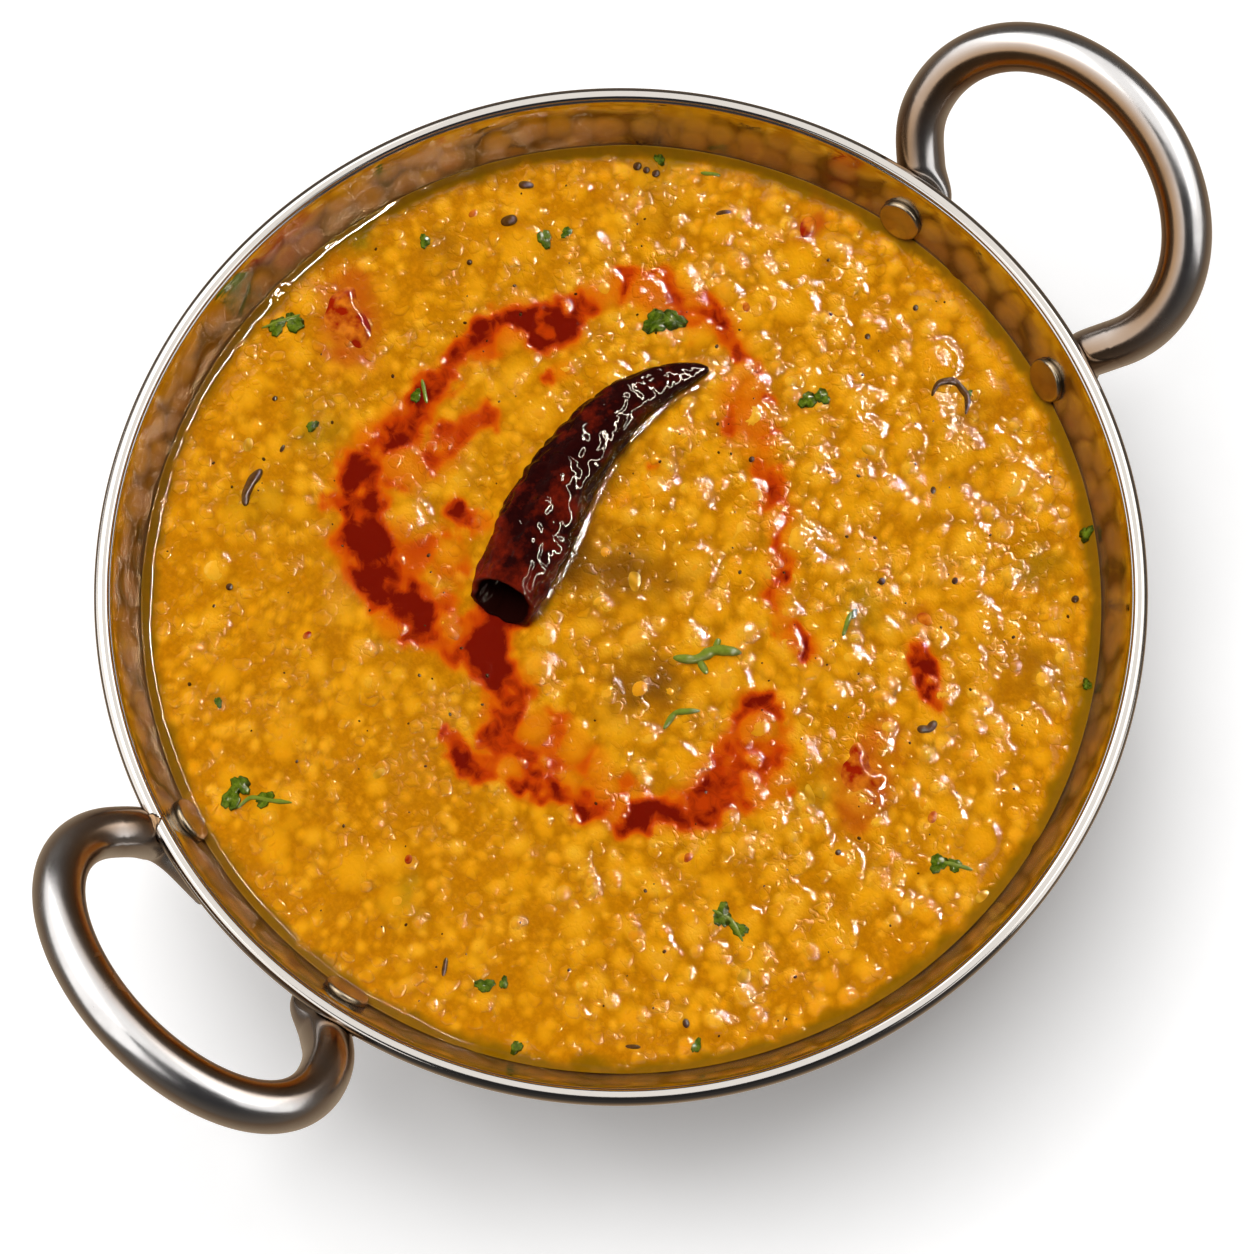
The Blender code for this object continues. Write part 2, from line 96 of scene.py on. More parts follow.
def scatter(cell, seed):
    """A fixed random value from 0 to 1 for each whole-number cell, from a hash of its coordinates."""
    key = np.full(cell.shape[:-1], seed * 7919 + 17, dtype=np.uint64)
    for axis, prime in zip(range(cell.shape[-1]), (73856093, 19349663, 83492791)):
        key ^= (cell[..., axis].astype(np.int64).astype(np.uint64) + np.uint64(1 << 20)) * np.uint64(prime)
        key = (key ^ (key >> np.uint64(15))) * np.uint64(2246822519) & np.uint64(0xFFFFFFFF)
    key = (key ^ (key >> np.uint64(13))) * np.uint64(3266489917) & np.uint64(0xFFFFFFFF)
    return ((key ^ (key >> np.uint64(16))) & np.uint64(0xFFFFFF)) / float(0xFFFFFF)


def noise(points, size, seed):
    """Smooth random values from 0 to 1: the corners of a lattice of the given cell size
    hold random values, blended between corners by a cubic ease on each axis."""
    cell = points / size
    base = np.floor(cell)
    part = cell - base
    part = part * part * (3 - 2 * part)
    total = np.zeros(points.shape[:-1])
    for corner in itertools.product((0, 1), repeat=points.shape[-1]):
        share = np.prod(np.where(np.array(corner) == 1, part, 1 - part), -1)
        total += share * scatter(base + np.array(corner), seed)
    return total


def ease(low, high, value):
    """0 below low, 1 above high, and a smooth cubic between them."""
    part = np.clip((value - low) / (high - low), 0, 1)
    return part * part * (3 - 2 * part)


def hammered(turns, along, blows_round, seed):
    """How far a point is from the nearest hammer blow: the squared distance to the nearest
    point of a jittered lattice, 0 in the middle of a blow and up to about 1 where blows meet."""
    u, v = turns * blows_round, along / BLOW
    nearest = np.full(u.shape, 1.0)
    for step_u, step_v in itertools.product((-1, 0, 1), repeat=2):
        cell_u, cell_v = np.floor(u) + step_u, np.floor(v) + step_v
        cell = np.stack([cell_u % blows_round, cell_v], -1)
        off_u, off_v = scatter(cell, seed), scatter(cell, seed + 1)
        nearest = np.minimum(nearest, (cell_u + off_u - u) ** 2 + (cell_v + off_v - v) ** 2)
    return nearest


def skin(rings):
    """Joins rows of rings, an array (rows, sides, 3), by quads, and closes both ends by a fan
    from the ring's middle. Gives points and faces; faces point out when the rings run
    counterclockwise about their direction of travel."""
    rows, sides = rings.shape[:2]
    k = np.arange(sides)
    following = (k + 1) % sides
    row = np.arange(rows - 1)[:, None] * sides
    quads = np.stack([row + k, row + following, row + sides + following, row + sides + k], -1)
    points = np.concatenate([rings.reshape(-1, 3), rings[:1].mean(1), rings[-1:].mean(1)])
    first, last = rows * sides, rows * sides + 1
    end = (rows - 1) * sides
    start_fan = np.stack([np.full(sides, first), following, k], -1)
    end_fan = np.stack([np.full(sides, last), end + k, end + following], -1)
    return points, quads.reshape(-1, 4).tolist() + start_fan.tolist() + end_fan.tolist()


def new_piece(name, points, faces, finish, masks=None):
    """A smooth mesh object from points and faces, with its material and its masks, which are
    named values from 0 to 1, one for each point."""
    mesh = bpy.data.meshes.new(name)
    mesh.from_pydata(points.tolist(), [], faces)
    mesh.shade_smooth()
    mesh.materials.append(finish)
    for mask, values in (masks or {}).items():
        mesh.attributes.new(mask, "FLOAT", "POINT").data.foreach_set("value", values.astype(np.float32))
    piece = bpy.data.objects.new(name, mesh)
    bpy.context.collection.objects.link(piece)
    return piece


def hexed(text):
    """An sRGB hex colour as linear RGBA."""
    parts = np.array([int(text[k:k + 2], 16) for k in (1, 3, 5)]) / 255
    return (*np.where(parts <= 0.04045, parts / 12.92, ((parts + 0.055) / 1.055) ** 2.4).tolist(), 1.0)


def wire(tree, node, sockets):
    """Gives a node's inputs, by name or number or as a list in their order, each a value, a hex
    colour, another node's output, or another node, which stands for its first open output."""
    for socket, value in (sockets if isinstance(sockets, dict) else dict(enumerate(sockets))).items():
        if isinstance(value, bpy.types.Node):
            value = next(output for output in value.outputs if output.enabled)
        if isinstance(value, bpy.types.NodeSocket):
            tree.links.new(value, node.inputs[socket])
        else:
            node.inputs[socket].default_value = hexed(value) if isinstance(value, str) else value


def put(tree, kind, sockets=None, **settings):
    """Adds a node: settings are its own options, and sockets are wired to its inputs. In a list,
    MapRange's are its value, from low, from high, to low and to high."""
    node = tree.nodes.new("ShaderNode" + kind)
    for option, value in settings.items():
        setattr(node, option, value)
    wire(tree, node, sockets or {})
    return node


def new_finish(name):
    """An empty node material: gives it, its tree, its Principled shader and the object's coordinates."""
    finish = bpy.data.materials.new(name)
    finish.use_nodes = True
    tree = finish.node_tree
    return finish, tree, tree.nodes["Principled BSDF"], put(tree, "TexCoord").outputs["Object"]


def per(size):
    """The scale that gives a pattern a feature size in metres."""
    return 1.0 / size


def wall_at(height, offset=0.0):
    """Radius of the inner wall at a height, moved outwards by an offset: an arc about wall_centre."""
    drop = np.clip((wall_centre[1] - height) / (wall_radius + offset), -1, 1)
    return wall_centre[0] + (wall_radius + offset) * np.cos(np.arcsin(drop))


def wall_profile(offset, high, low, count):
    """Points (radius, height) and outward normals down the wall between two heights."""
    radius = wall_radius + offset
    first = math.asin((wall_centre[1] - high) / radius)
    last = math.asin(min(1.0, (wall_centre[1] - low) / radius))
    angle = np.linspace(first, last, count)
    normal = np.stack([np.cos(angle), -np.sin(angle)], -1)
    return np.array(wall_centre) + radius * normal, normal


def bead_profile(count):
    """Points and normals round the rolled rim: a squarish oval from below outside, over the
    top, to the inner wall, with a groove pressed in before the inner edge."""
    angle = np.linspace(math.radians(-50), math.radians(180), count)
    across, up = np.cos(angle), np.sin(angle)
    squared = np.stack([np.sign(across) * abs(across) ** 0.85, np.sign(up) * abs(up) ** 0.85], -1)
    groove = 0.14 * MM * np.exp(-((angle - math.radians(140)) / math.radians(8)) ** 2)
    groove += 0.05 * MM * np.exp(-((angle - math.radians(58)) / math.radians(6)) ** 2)
    points = np.array([RIM_RADIUS - BEAD / 2, bead_middle]) + (BEAD / 2 - groove[:, None]) * squared
    return points, np.stack([across, up], -1)


def round_angles(sides):
    """Angles of a whole turn, one for each side."""
    return np.linspace(0, 2 * math.pi, sides, endpoint=False)


def spun(pairs, angles):
    """Pairs of radius and height swept round Z into rings, a point at each angle."""
    circle = np.stack([np.cos(angles), np.sin(angles)], -1)
    heights = np.broadcast_to(pairs[:, None, 1:], (len(pairs), len(angles), 1))
    return np.concatenate([pairs[:, None, :1] * circle, heights], -1)


under_bead = RIM_TOP - BEAD - 0.3 * MM
outside, outside_normal = wall_profile(WALL, under_bead, 0.0, 58)
bead, bead_normal = bead_profile(30)
shown, shown_normal = wall_profile(0.0, bead_middle, DAL_LEVEL - 2.5 * MM, 22)
sunk, sunk_normal = wall_profile(0.0, DAL_LEVEL - 4 * MM, WALL, 8)
base_radius = outside[-1, 0]
underside = np.array([[1 * MM, 0], [base_radius * 0.5, 0], [base_radius * 0.94, 0]])
floor_inside = np.array([[base_radius * 0.5, WALL], [1 * MM, WALL]])
flat_down, flat_up = np.tile([0.0, -1.0], (3, 1)), np.tile([0.0, 1.0], (2, 1))
profile = np.concatenate([underside, outside[::-1], bead, shown[1:], sunk, floor_inside])
normals = np.concatenate([flat_down, outside_normal[::-1], bead_normal, -shown_normal[1:], -sunk_normal,
                          flat_up])
beaten = np.repeat([0.0, 1, 0, 1, 0], [len(underside), len(outside), len(bead), len(shown) - 1 + len(sunk),
                                       len(floor_inside)])

angles = round_angles(SIDES)
run = np.concatenate([[0], np.cumsum(np.hypot(*np.diff(profile, axis=0).T))])
turns, along = np.meshgrid(angles / (2 * math.pi), run)
dents = hammered(turns, along, BLOWS_ROUND, 3)
off_base = ease(0.3 * MM, 4 * MM, profile[:, 1:])
fade = beaten[:, None] * ease(0, 3 * MM, abs(profile[:, 1:] - bead_middle)) * off_base
ring_points, ring_normals = spun(profile, angles), spun(normals, angles)
wobble = WOBBLE * (noise(ring_points, 19 * MM, 5) - 0.5) * off_base
lift = BLOW_DEPTH * (dents - 0.45) * fade * (0.6 + 0.8 * noise(ring_points, 13 * MM, 6)) + wobble
points, faces = skin(ring_points + ring_normals * lift[..., None])

# Hammered stainless steel: a warm grey metal, smeared and dulled below its bright bead and
# darker where blows meet. Inside, a thin brown film of dal lies on it, thicker near the food.
steel, tree, shader, coords = new_finish("stainless_steel_hammered")
split = put(tree, "SeparateXYZ", [coords])
cloudy = put(tree, "TexNoise", {"Vector": coords, "Scale": per(11 * MM), "Detail": 3.0})
smears = put(tree, "TexNoise", {"Vector": coords, "Scale": per(3.2 * MM), "Detail": 6.0, "Roughness": 0.68,
                                "Distortion": 0.6})
level = put(tree, "MapRange", [split.outputs["Z"], RIM_TOP - 2.2 * MM, DAL_LEVEL])
reach = put(tree, "VectorMath", [coords, (1, 1, 0)], operation="MULTIPLY")
radius_here = put(tree, "VectorMath", [reach], operation="LENGTH")
inner = put(tree, "MapRange", [radius_here, wall_at(RIM_TOP) + 0.5 * MM, wall_at(RIM_TOP) - 0.5 * MM])
film = put(tree, "Math", [level, inner], operation="MULTIPLY")
blotch = put(tree, "MapRange", [cloudy, 0.3, 0.75, 0.7, 1.0])
filmed = put(tree, "Math", [film, blotch], operation="MULTIPLY")
tinted = put(tree, "Mix", {0: filmed, 6: "#BDB7B0", 7: "#86641E"}, data_type="RGBA")
below_bead = put(tree, "MapRange", [split.outputs["Z"], RIM_TOP - 2.5 * MM, RIM_TOP - 4.5 * MM])
dented = put(tree, "Math", [smears, below_bead], operation="MULTIPLY")
dulled = put(tree, "MapRange", [dented, 0.30, 0.65, 0.08, 0.20])
relief = put(tree, "Bump", {"Height": dented, "Distance": 0.16 * MM, "Strength": 0.6})
ridges = put(tree, "Attribute", attribute_name="ridge").outputs["Fac"]
inside = put(tree, "MapRange", [inner, 0, 1, 0.25, 0.75])
in_ridges = put(tree, "MapRange", [ridges, 0.10, 0.45, 0, inside])
grimed = put(tree, "Mix", {0: in_ridges, 6: tinted, 7: "#54401C"}, data_type="RGBA")
bare = put(tree, "MapRange", [filmed, 0, 1, 1.0, 0.78])
wire(tree, shader, {"Base Color": grimed, "Roughness": dulled, "Normal": relief, "Metallic": bare,
                    "Specular IOR Level": 0.2})

ridge = np.concatenate([(dents * fade).ravel(), [0, 0]])
bowl = new_piece("karahi_bowl", points, faces, steel, {"ridge": ridge})
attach(bowl, "root")
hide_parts("karahi")
lit = {"metal": [bowl], "food": []}                # what the panels and the strips shine on


# ---------------------------------------------------------------- handles
# Each handle is one 7.6 mm steel rod bent into an open loop. Its ends are forged flat
# into tabs that lie against the outer wall, and the whole rod is polished.
ROD_RADIUS = 3.8 * MM
LOOP_HALF_WIDTH = 25.3 * MM
LOOP_SLOPE = math.radians(38.2)
LOOP_END = 1.85                               # ellipse parameter where the loop turns into a leg
TAB_THICKNESS, TAB_HALF_WIDTH = 3.2 * MM, 5.2 * MM
TAB_BELOW_RIVET, TAB_ABOVE_RIVET = 6.5 * MM, 2.5 * MM
FLATTEN_FROM = 0.62
SEAT_GAP = 0.02 * MM                          # left between a tab and the wall it is riveted to

# Each handle: side, loop reach, loop centre outwards and above the rim, turns about Z and in
# its own plane, and two legs as (rivet angle, rivet depth below the rim, flare inwards).
HANDLES = {
    "right": dict(side=1, reach=19.7 * MM, out=89.0 * MM, rise=3.7 * MM, turn=0.3, roll=-7.2,
                  legs=((12.2, 8.2 * MM, 0.5 * MM), (-14.7, 8.6 * MM, 0.5 * MM))),
    "left": dict(side=-1, reach=16.1 * MM, out=86.5 * MM, rise=4.1 * MM, turn=2.8, roll=-3.8,
                 legs=((15.2, 9.3 * MM, 1.0 * MM), (-12.4, 9.3 * MM, 7.5 * MM))),
}


def unit(vectors):
    """Vectors made 1 long."""
    return vectors / np.linalg.norm(vectors, axis=-1, keepdims=True)


def about_z(points, degrees):
    """Points turned about Z."""
    a = math.radians(degrees)
    return points @ np.array([[math.cos(a), math.sin(a), 0], [-math.sin(a), math.cos(a), 0], [0, 0, 1]])


def cubic(controls, t):
    """The cubic (Bezier) curve of four control points, at each t."""
    t = t[:, None]
    return np.concatenate([(1 - t) ** 3, 3 * t * (1 - t) ** 2, 3 * t * t * (1 - t), t ** 3], 1) @ controls


def loop_line(handle, t):
    """Centre line of the loop and the direction out of it: an ellipse in a plane that rises outwards."""
    spin = math.radians(handle["roll"])
    flat = np.stack([handle["reach"] * np.cos(t), LOOP_HALF_WIDTH * np.sin(t)], -1)
    out = unit(np.stack([LOOP_HALF_WIDTH * np.cos(t), handle["reach"] * np.sin(t)], -1))
    rolled = np.array([[math.cos(spin), math.sin(spin)], [-math.sin(spin), math.cos(spin)]])
    flat, out = flat @ rolled, out @ rolled
    plane = np.array([[math.cos(LOOP_SLOPE), 0, math.sin(LOOP_SLOPE)], [0, 1, 0]])
    centre = np.array([handle["out"], 0, RIM_TOP + handle["rise"]])
    facing = handle["turn"] + (0 if handle["side"] > 0 else 180)
    return about_z(centre + flat @ plane, facing), about_z(out @ plane, facing)


def leg_line(handle, leg, end, heading):
    """Stations from the loop's end to the tab's tip: a cubic curve down to the wall, then down
    the wall itself. Gives centres, width directions and how flat the rod is, from 0 to 1,
    and above 1 where the tab narrows to its tip."""
    degrees, depth, _ = leg
    angle = math.radians(degrees) + (0 if handle["side"] > 0 else math.pi)
    sideways = np.array([-math.sin(angle), math.cos(angle), 0]) * (1 if degrees > 0 else -1)
    rivet_height = RIM_TOP - depth
    offset = WALL + SEAT_GAP + TAB_THICKNESS / 2

    def on_wall(height):
        radius = wall_at(height, offset)
        return np.stack([radius * math.cos(angle), radius * math.sin(angle), height], -1)

    top_height = rivet_height + TAB_ABOVE_RIVET
    top = on_wall(np.array(top_height))
    down = unit(on_wall(np.array(top_height - 0.1 * MM)) - top)
    outward = np.cross(down, sideways)
    outward = outward * np.sign(outward @ np.array([math.cos(angle), math.sin(angle), 0]))
    controls = np.array([end, end + heading * 7 * MM, top - down * 2.5 * MM + outward * 3.0 * MM, top])
    t = np.linspace(0, 1, 41)[1:]
    late = ease(FLATTEN_FROM, 1, t)
    k = np.linspace(0, 1, 19)[1:]
    tab = on_wall(top_height - (TAB_ABOVE_RIVET + TAB_BELOW_RIVET) * k)
    centres = np.concatenate([cubic(controls, t), tab])
    return centres, np.tile(sideways, (len(centres), 1)), np.concatenate([late, 1 + 0.5 * k ** 4])


def rod(centres, hints, flatness, flares, sides):
    """Sections carried along the line: a circle that widens and thins into the tab, and
    flares on its inner side, with its width kept square to the line."""
    ahead = unit(np.gradient(centres, axis=0))
    width = unit(hints - ahead * (hints * ahead).sum(-1, keepdims=True))
    normal = np.cross(ahead, width)
    flat = np.minimum(flatness, 1)
    narrow = np.sqrt(np.clip(1 - (2 * np.maximum(flatness - 1, 0)) ** 2, 0.02, 1))
    outer = (ROD_RADIUS + (TAB_HALF_WIDTH - ROD_RADIUS) * flat) * narrow
    inner = outer + flares * flat ** 2 * narrow ** 2
    thick = ROD_RADIUS + (TAB_THICKNESS / 2 - ROD_RADIUS) * flat
    angle = round_angles(sides)
    square = 1 - 0.35 * flat[:, None]         # the tab's section is squarer than the rod's
    across = np.sign(np.cos(angle)) * abs(np.cos(angle)) ** square
    over = np.sign(np.sin(angle)) * abs(np.sin(angle)) ** square
    reach = np.where(np.cos(angle) > 0, outer[:, None], inner[:, None])
    return (centres[:, None] + width[:, None] * (reach * across)[..., None]
            + normal[:, None] * (thick[:, None] * over)[..., None])


def off_the_wall(points):
    """Points that would be inside the bowl's wall or bead, moved out to just clear of them."""
    round_z = np.hypot(points[..., 0], points[..., 1])
    rel_r, rel_z = round_z - wall_centre[0], points[..., 2] - wall_centre[1]
    span = np.hypot(rel_r, rel_z)
    grow = np.maximum(1, (wall_radius + WALL + SEAT_GAP) / span)
    below = points[..., 2] < bead_middle
    new_r = np.where(below, wall_centre[0] + rel_r * grow, round_z)
    new_z = np.where(below, wall_centre[1] + rel_z * grow, points[..., 2])
    bead_r, bead_z = new_r - (RIM_RADIUS - BEAD / 2), new_z - bead_middle
    span = np.maximum(np.hypot(bead_r, bead_z), 1e-6)
    bead_grow = np.where(new_z > bead_middle - 2.2 * BEAD, np.maximum(1, (BEAD * 0.56) / span), 1)
    outer_side = bead_r > -BEAD * 0.3
    new_r = np.where(outer_side, RIM_RADIUS - BEAD / 2 + bead_r * bead_grow, new_r)
    new_z = np.where(outer_side, bead_middle + bead_z * bead_grow, new_z)
    scale = new_r / round_z
    return np.stack([points[..., 0] * scale, points[..., 1] * scale, new_z], -1)


# Polished stainless rod: a bright grey metal with a faint grit and soft smudges that vary how
# sharp its reflections are, with a painted brown reflection of the dal on the side that faces
# the bowl and painted shade on the side that faces down.
polished, tree, shader, coords = new_finish("stainless_steel_polished_rod")
smudge = put(tree, "TexNoise", {"Vector": coords, "Scale": per(9 * MM), "Detail": 4.0, "Roughness": 0.6})
grit = put(tree, "TexNoise", {"Vector": coords, "Scale": per(0.7 * MM), "Detail": 2.0})
tone = put(tree, "Mix", {0: smudge, 6: "#D2D0CE", 7: "#B4B0AE"}, data_type="RGBA")
dulled = put(tree, "MapRange", [smudge, 0.3, 0.75, 0.16, 0.30])
relief = put(tree, "Bump", {"Height": grit, "Distance": 0.01 * MM, "Strength": 0.35})
# Painted light: a brown tint where the rod faces the bowl stands for the dal's reflection, and on its
# underside for shade.
painted_reflection_and_shade = put(tree, "Attribute", attribute_name="smoky").outputs["Fac"]
reflection_and_shade_tint = put(tree, "Mix", {0: painted_reflection_and_shade, 6: tone, 7: "#84684C"}, data_type="RGBA")
wire(tree, shader, {"Base Color": reflection_and_shade_tint, "Roughness": dulled, "Normal": relief, "Metallic": 1.0})

for side, handle in HANDLES.items():
    t = np.linspace(-LOOP_END, LOOP_END, 150)
    loop, out = loop_line(handle, t)
    first = leg_line(handle, handle["legs"][0], loop[-1], unit(loop[-1] - loop[-2]))
    second = leg_line(handle, handle["legs"][1], loop[0], unit(loop[0] - loop[1]))
    centres, hints, flatness = (np.concatenate([two[::-1], middle, one]) for two, middle, one
                                in zip(second, (loop, out, np.zeros(len(t))), first))
    half = np.arange(len(centres)) < len(centres) / 2
    flares = np.where(half, handle["legs"][1][2], handle["legs"][0][2])
    rings = off_the_wall(rod(centres, hints, flatness, flares, 64))
    middles = rings.mean(1, keepdims=True)
    outward, to_bowl = unit(rings - middles), unit(middles * np.array([-1, -1, 0]))
    # Painted reflection of the dal on the side facing the bowl, and painted shade on the side facing down.
    smoky = np.maximum(ease(0.15, 0.75, (outward * to_bowl).sum(-1)), 0.8 * ease(0.1, -0.7, outward[..., 2]))
    piece = new_piece(f"{side}_handle", *skin(rings), polished, {"smoky": np.append(smoky, [1, 1])})
    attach(piece, "root")
    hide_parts(f"handle_{side}")
    lit["metal"].append(piece)


# ---------------------------------------------------------------- rivets
# Four steel rivets, two to a handle: a low flat head inside the bowl, a shank through the
# wall and the tab, and a head peened round outside.
HEAD_RADIUS, HEAD_THICKNESS, SHANK_RADIUS = 3.6 * MM, 1.0 * MM, 2.0 * MM

rounding = np.linspace(0, math.pi / 2, 7)
outer_face = -(WALL + SEAT_GAP + TAB_THICKNESS)
dome = [(HEAD_RADIUS * 0.92 * math.sin(a), outer_face - 1.5 * MM * math.cos(a))
        for a in np.linspace(0.08, math.pi / 2, 9)]
edge = [(HEAD_RADIUS - 0.45 * MM * (1 - math.cos(a)), HEAD_THICKNESS * (0.45 + 0.55 * math.sin(a)))
        for a in rounding]
crown = [(HEAD_RADIUS * k, HEAD_THICKNESS * (1.0 + 0.10 * (0.87 - k))) for k in (0.8, 0.6, 0.4, 0.2, 0.03)]
shank = [(SHANK_RADIUS, outer_face), (SHANK_RADIUS, SEAT_GAP), (HEAD_RADIUS, SEAT_GAP)]
section = np.array(dome + shank + edge + crown)


def mottled(name, grain, dark, light, lift, settings, spread=None, kind="TexNoise"):
    """A material of one pattern that mottles two colours and lifts the surface: given are the
    settings of the pattern, the lift and the shader. The colours change over the whole pattern,
    or over a spread of its values."""
    finish, tree, shader, coords = new_finish(name)
    pattern = put(tree, kind, {"Vector": coords, **grain}).outputs["Fac"]
    share = pattern
    if spread:
        share = put(tree, "MapRange", [pattern, spread[0], spread[1]])
    colour = put(tree, "Mix", {0: share, 6: dark, 7: light}, data_type="RGBA")
    relief = put(tree, "Bump", {"Height": pattern, **lift})
    wire(tree, shader, {"Base Color": colour, "Normal": relief, **settings})
    return finish


# Peened steel: the rod's metal, duller, with the soft dimples of the setting hammer.
peened = mottled("stainless_steel_peened", {"Scale": per(1.8 * MM), "Detail": 3.0, "Roughness": 0.6},
                 "#B5A58C", "#8C7D68", {"Distance": 0.10 * MM, "Strength": 0.8},
                 {"Metallic": 1.0, "Roughness": 0.27})

for side, handle in HANDLES.items():
    for number, (degrees, depth, _) in enumerate(handle["legs"], start=1):
        angle = math.radians(degrees) + (0 if handle["side"] > 0 else math.pi)
        out = np.array([math.cos(angle), math.sin(angle), 0])
        seat = wall_at(RIM_TOP - depth) * out + [0, 0, RIM_TOP - depth]
        inward = -unit(seat - (wall_centre[0] * out + [0, 0, wall_centre[1]]))
        side_way = np.array([-out[1], out[0], 0])
        up_way = np.cross(inward, side_way)
        a = round_angles(48)
        face = side_way * np.cos(a)[:, None] + up_way * np.sin(a)[:, None]
        rings = seat + section[:, None, :1] * face + section[:, None, 1:] * inward
        piece = new_piece(f"{side}_rivet_{number}", *skin(rings), peened)
        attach(piece, "root")
        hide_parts(f"rivet_{side}_{number}")
        lit["metal"].append(piece)


# ---------------------------------------------------------------- dal
# Split lentils boiled soft in a thick amber gravy. Whole and broken lentils stand in it like
# pebbles, more of them on the side away from the small handle, and the gravy creeps up
# round each one and up the bowl's wall. Red chilli oil lies in the hollows as a broken ring.
CELL = 0.2                                    # relief is summed on a lattice of this step, in mm
FIELD = 76.0                                  # the lattice reaches this far from the middle, in mm
FOOT_ROUND = 0.10                             # softness of the corner where the gravy starts to climb, in mm
MELT = 0.13                                   # how softly gravy and lentils run together, in mm
PLUMP = 0.75                                  # half thickness of a lentil as a share of its half width
MENISCUS, MENISCUS_REACH = 0.95, 0.6          # gravy's climb up the chilli's side and how far out, in mm
rng = np.random.default_rng(11)

# Lentils that stand out: (x, y, half length, half width, turn in degrees, height) in mm.
WHOLE_LENTILS = (
    (-17, 30.7, 3.5, 3.3, 20, 1.2), (15, 9, 3.3, 3, 0, 1), (26.5, -12.1, 3.2, 2.8, 40, 1),
    (-3.2, -7.4, 2.7, 2.5, 0, 1), (-17.3, -0.6, 3.2, 3, 15, 1.2), (-13.2, 2.6, 2.9, 2.5, 60, 0.9),
    (-3, -54, 3.3, 3, 70, 0.8), (3.6, -12.5, 2.7, 1.7, 70, 0.9), (8.6, -17.6, 4.3, 2.2, 5, 1.1),
    (-8, -13.5, 2, 1.8, 0, 0.8), (-12.2, -11, 2.3, 1.9, 30, 0.7), (13, -23.5, 2.6, 2.2, 0, 0.8),
    (-45, 44.5, 2.7, 2.5, 0, 0.8), (-7.4, 21.6, 3.4, 3, 0, 0.6), (2.6, 24.6, 2.6, 2.2, 50, 0.5),
    (-12.5, -54, 2.6, 2.2, 0, 0.6), (15, -65.5, 3, 2.6, 30, 0.6), (10, -67, 2.7, 2.6, 0, 0.6),
    (22.4, 14.5, 2.6, 1.9, 35, 0.6), (17, 17, 2, 1.7, 0, 0.6), (9, 1.5, 2.5, 1.5, 60, 0.6),
    (-26, 24, 2, 1.8, 0, 0.3), (-36, 20, 2.7, 2.3, 60, 0.6), (-38.2, 15.2, 2.4, 2.2, 0, 0.6),
    (-26.8, -47, 2.6, 2.3, 20, 0.5), (33, -44, 2.7, 2.2, 45, 0.6), (38.5, 54.5, 2.2, 1.8, 0, 0.5),
)
CHUNKY_FROM, CHUNKY_TO = -24.0, 22.0          # across the bowl, where thin dal turns to thick, in mm

ticks = np.arange(-FIELD, FIELD + CELL / 2, CELL)
east, north = np.meshgrid(ticks, ticks, indexing="ij")
lattice = np.stack([east, north], -1)
from_middle = np.hypot(east, north)
level_radius = float(wall_at(DAL_LEVEL)) / MM


def thickness_of_dal(x, y):
    """From 0, thin and smooth, to 1, thick with lentils: it grows across the bowl, unevenly."""
    side = x * picture_right[0] + y * picture_right[1]
    patchy = noise(np.stack([x, y], -1), 17.0, 21) - 0.5
    return ease(CHUNKY_FROM, CHUNKY_TO, side + 34 * patchy)


def sprinkle(count, spread, dense):
    """Random places over the bowl, kept with a chance of 1 - dense + dense times the dal's thickness."""
    radius = spread * np.sqrt(rng.random(count))
    angle = 2 * math.pi * rng.random(count)
    x, y = radius * np.cos(angle), radius * np.sin(angle)
    kept = rng.random(count) < 1 - dense + dense * thickness_of_dal(x, y)
    return x[kept], y[kept]


def lentils(count, low, high, dense, rise_low, rise_high):
    """Rows of random lentils like WHOLE_LENTILS: half sizes between low and high, and standing
    higher where the dal is thick."""
    x, y = sprinkle(count, level_radius - 0.4 - high, dense)
    size = low + (high - low) * rng.random(len(x)) ** 1.6
    narrow = 0.68 + 0.3 * rng.random(len(x))
    thick = thickness_of_dal(x, y)
    rise = rise_low + (rise_high - rise_low) * rng.random(len(x)) * (0.6 + 0.4 * thick)
    return np.stack([x, y, size, size * narrow, 360 * rng.random(len(x)), rise], -1)


def sort_out(rows, spacing):
    """Leaves out rows that lie closer than a share of their sizes to an earlier one."""
    kept = []
    for row in rows:
        if all(math.hypot(row[0] - o[0], row[1] - o[1]) > spacing * (row[2] + o[2]) for o in kept):
            kept.append(row)
    return np.array(kept)


big = sort_out(np.concatenate([WHOLE_LENTILS, lentils(900, 1.9, 3.9, 0.86, -0.15, 0.95)]), 0.84)
middling = lentils(1150, 1.1, 2.1, 0.35, -0.35, 0.80)
small = lentils(2600, 0.65, 1.25, 0.20, -0.40, 0.45)

swell = 0.35 * (noise(lattice, 9.0, 31) - 0.5) + 0.26 * (noise(lattice, 3.6, 32) - 0.5)
mush = 0.13 * (noise(lattice, 1.5, 33) - 0.5) + 0.07 * (noise(lattice, 0.8, 34) - 0.5)

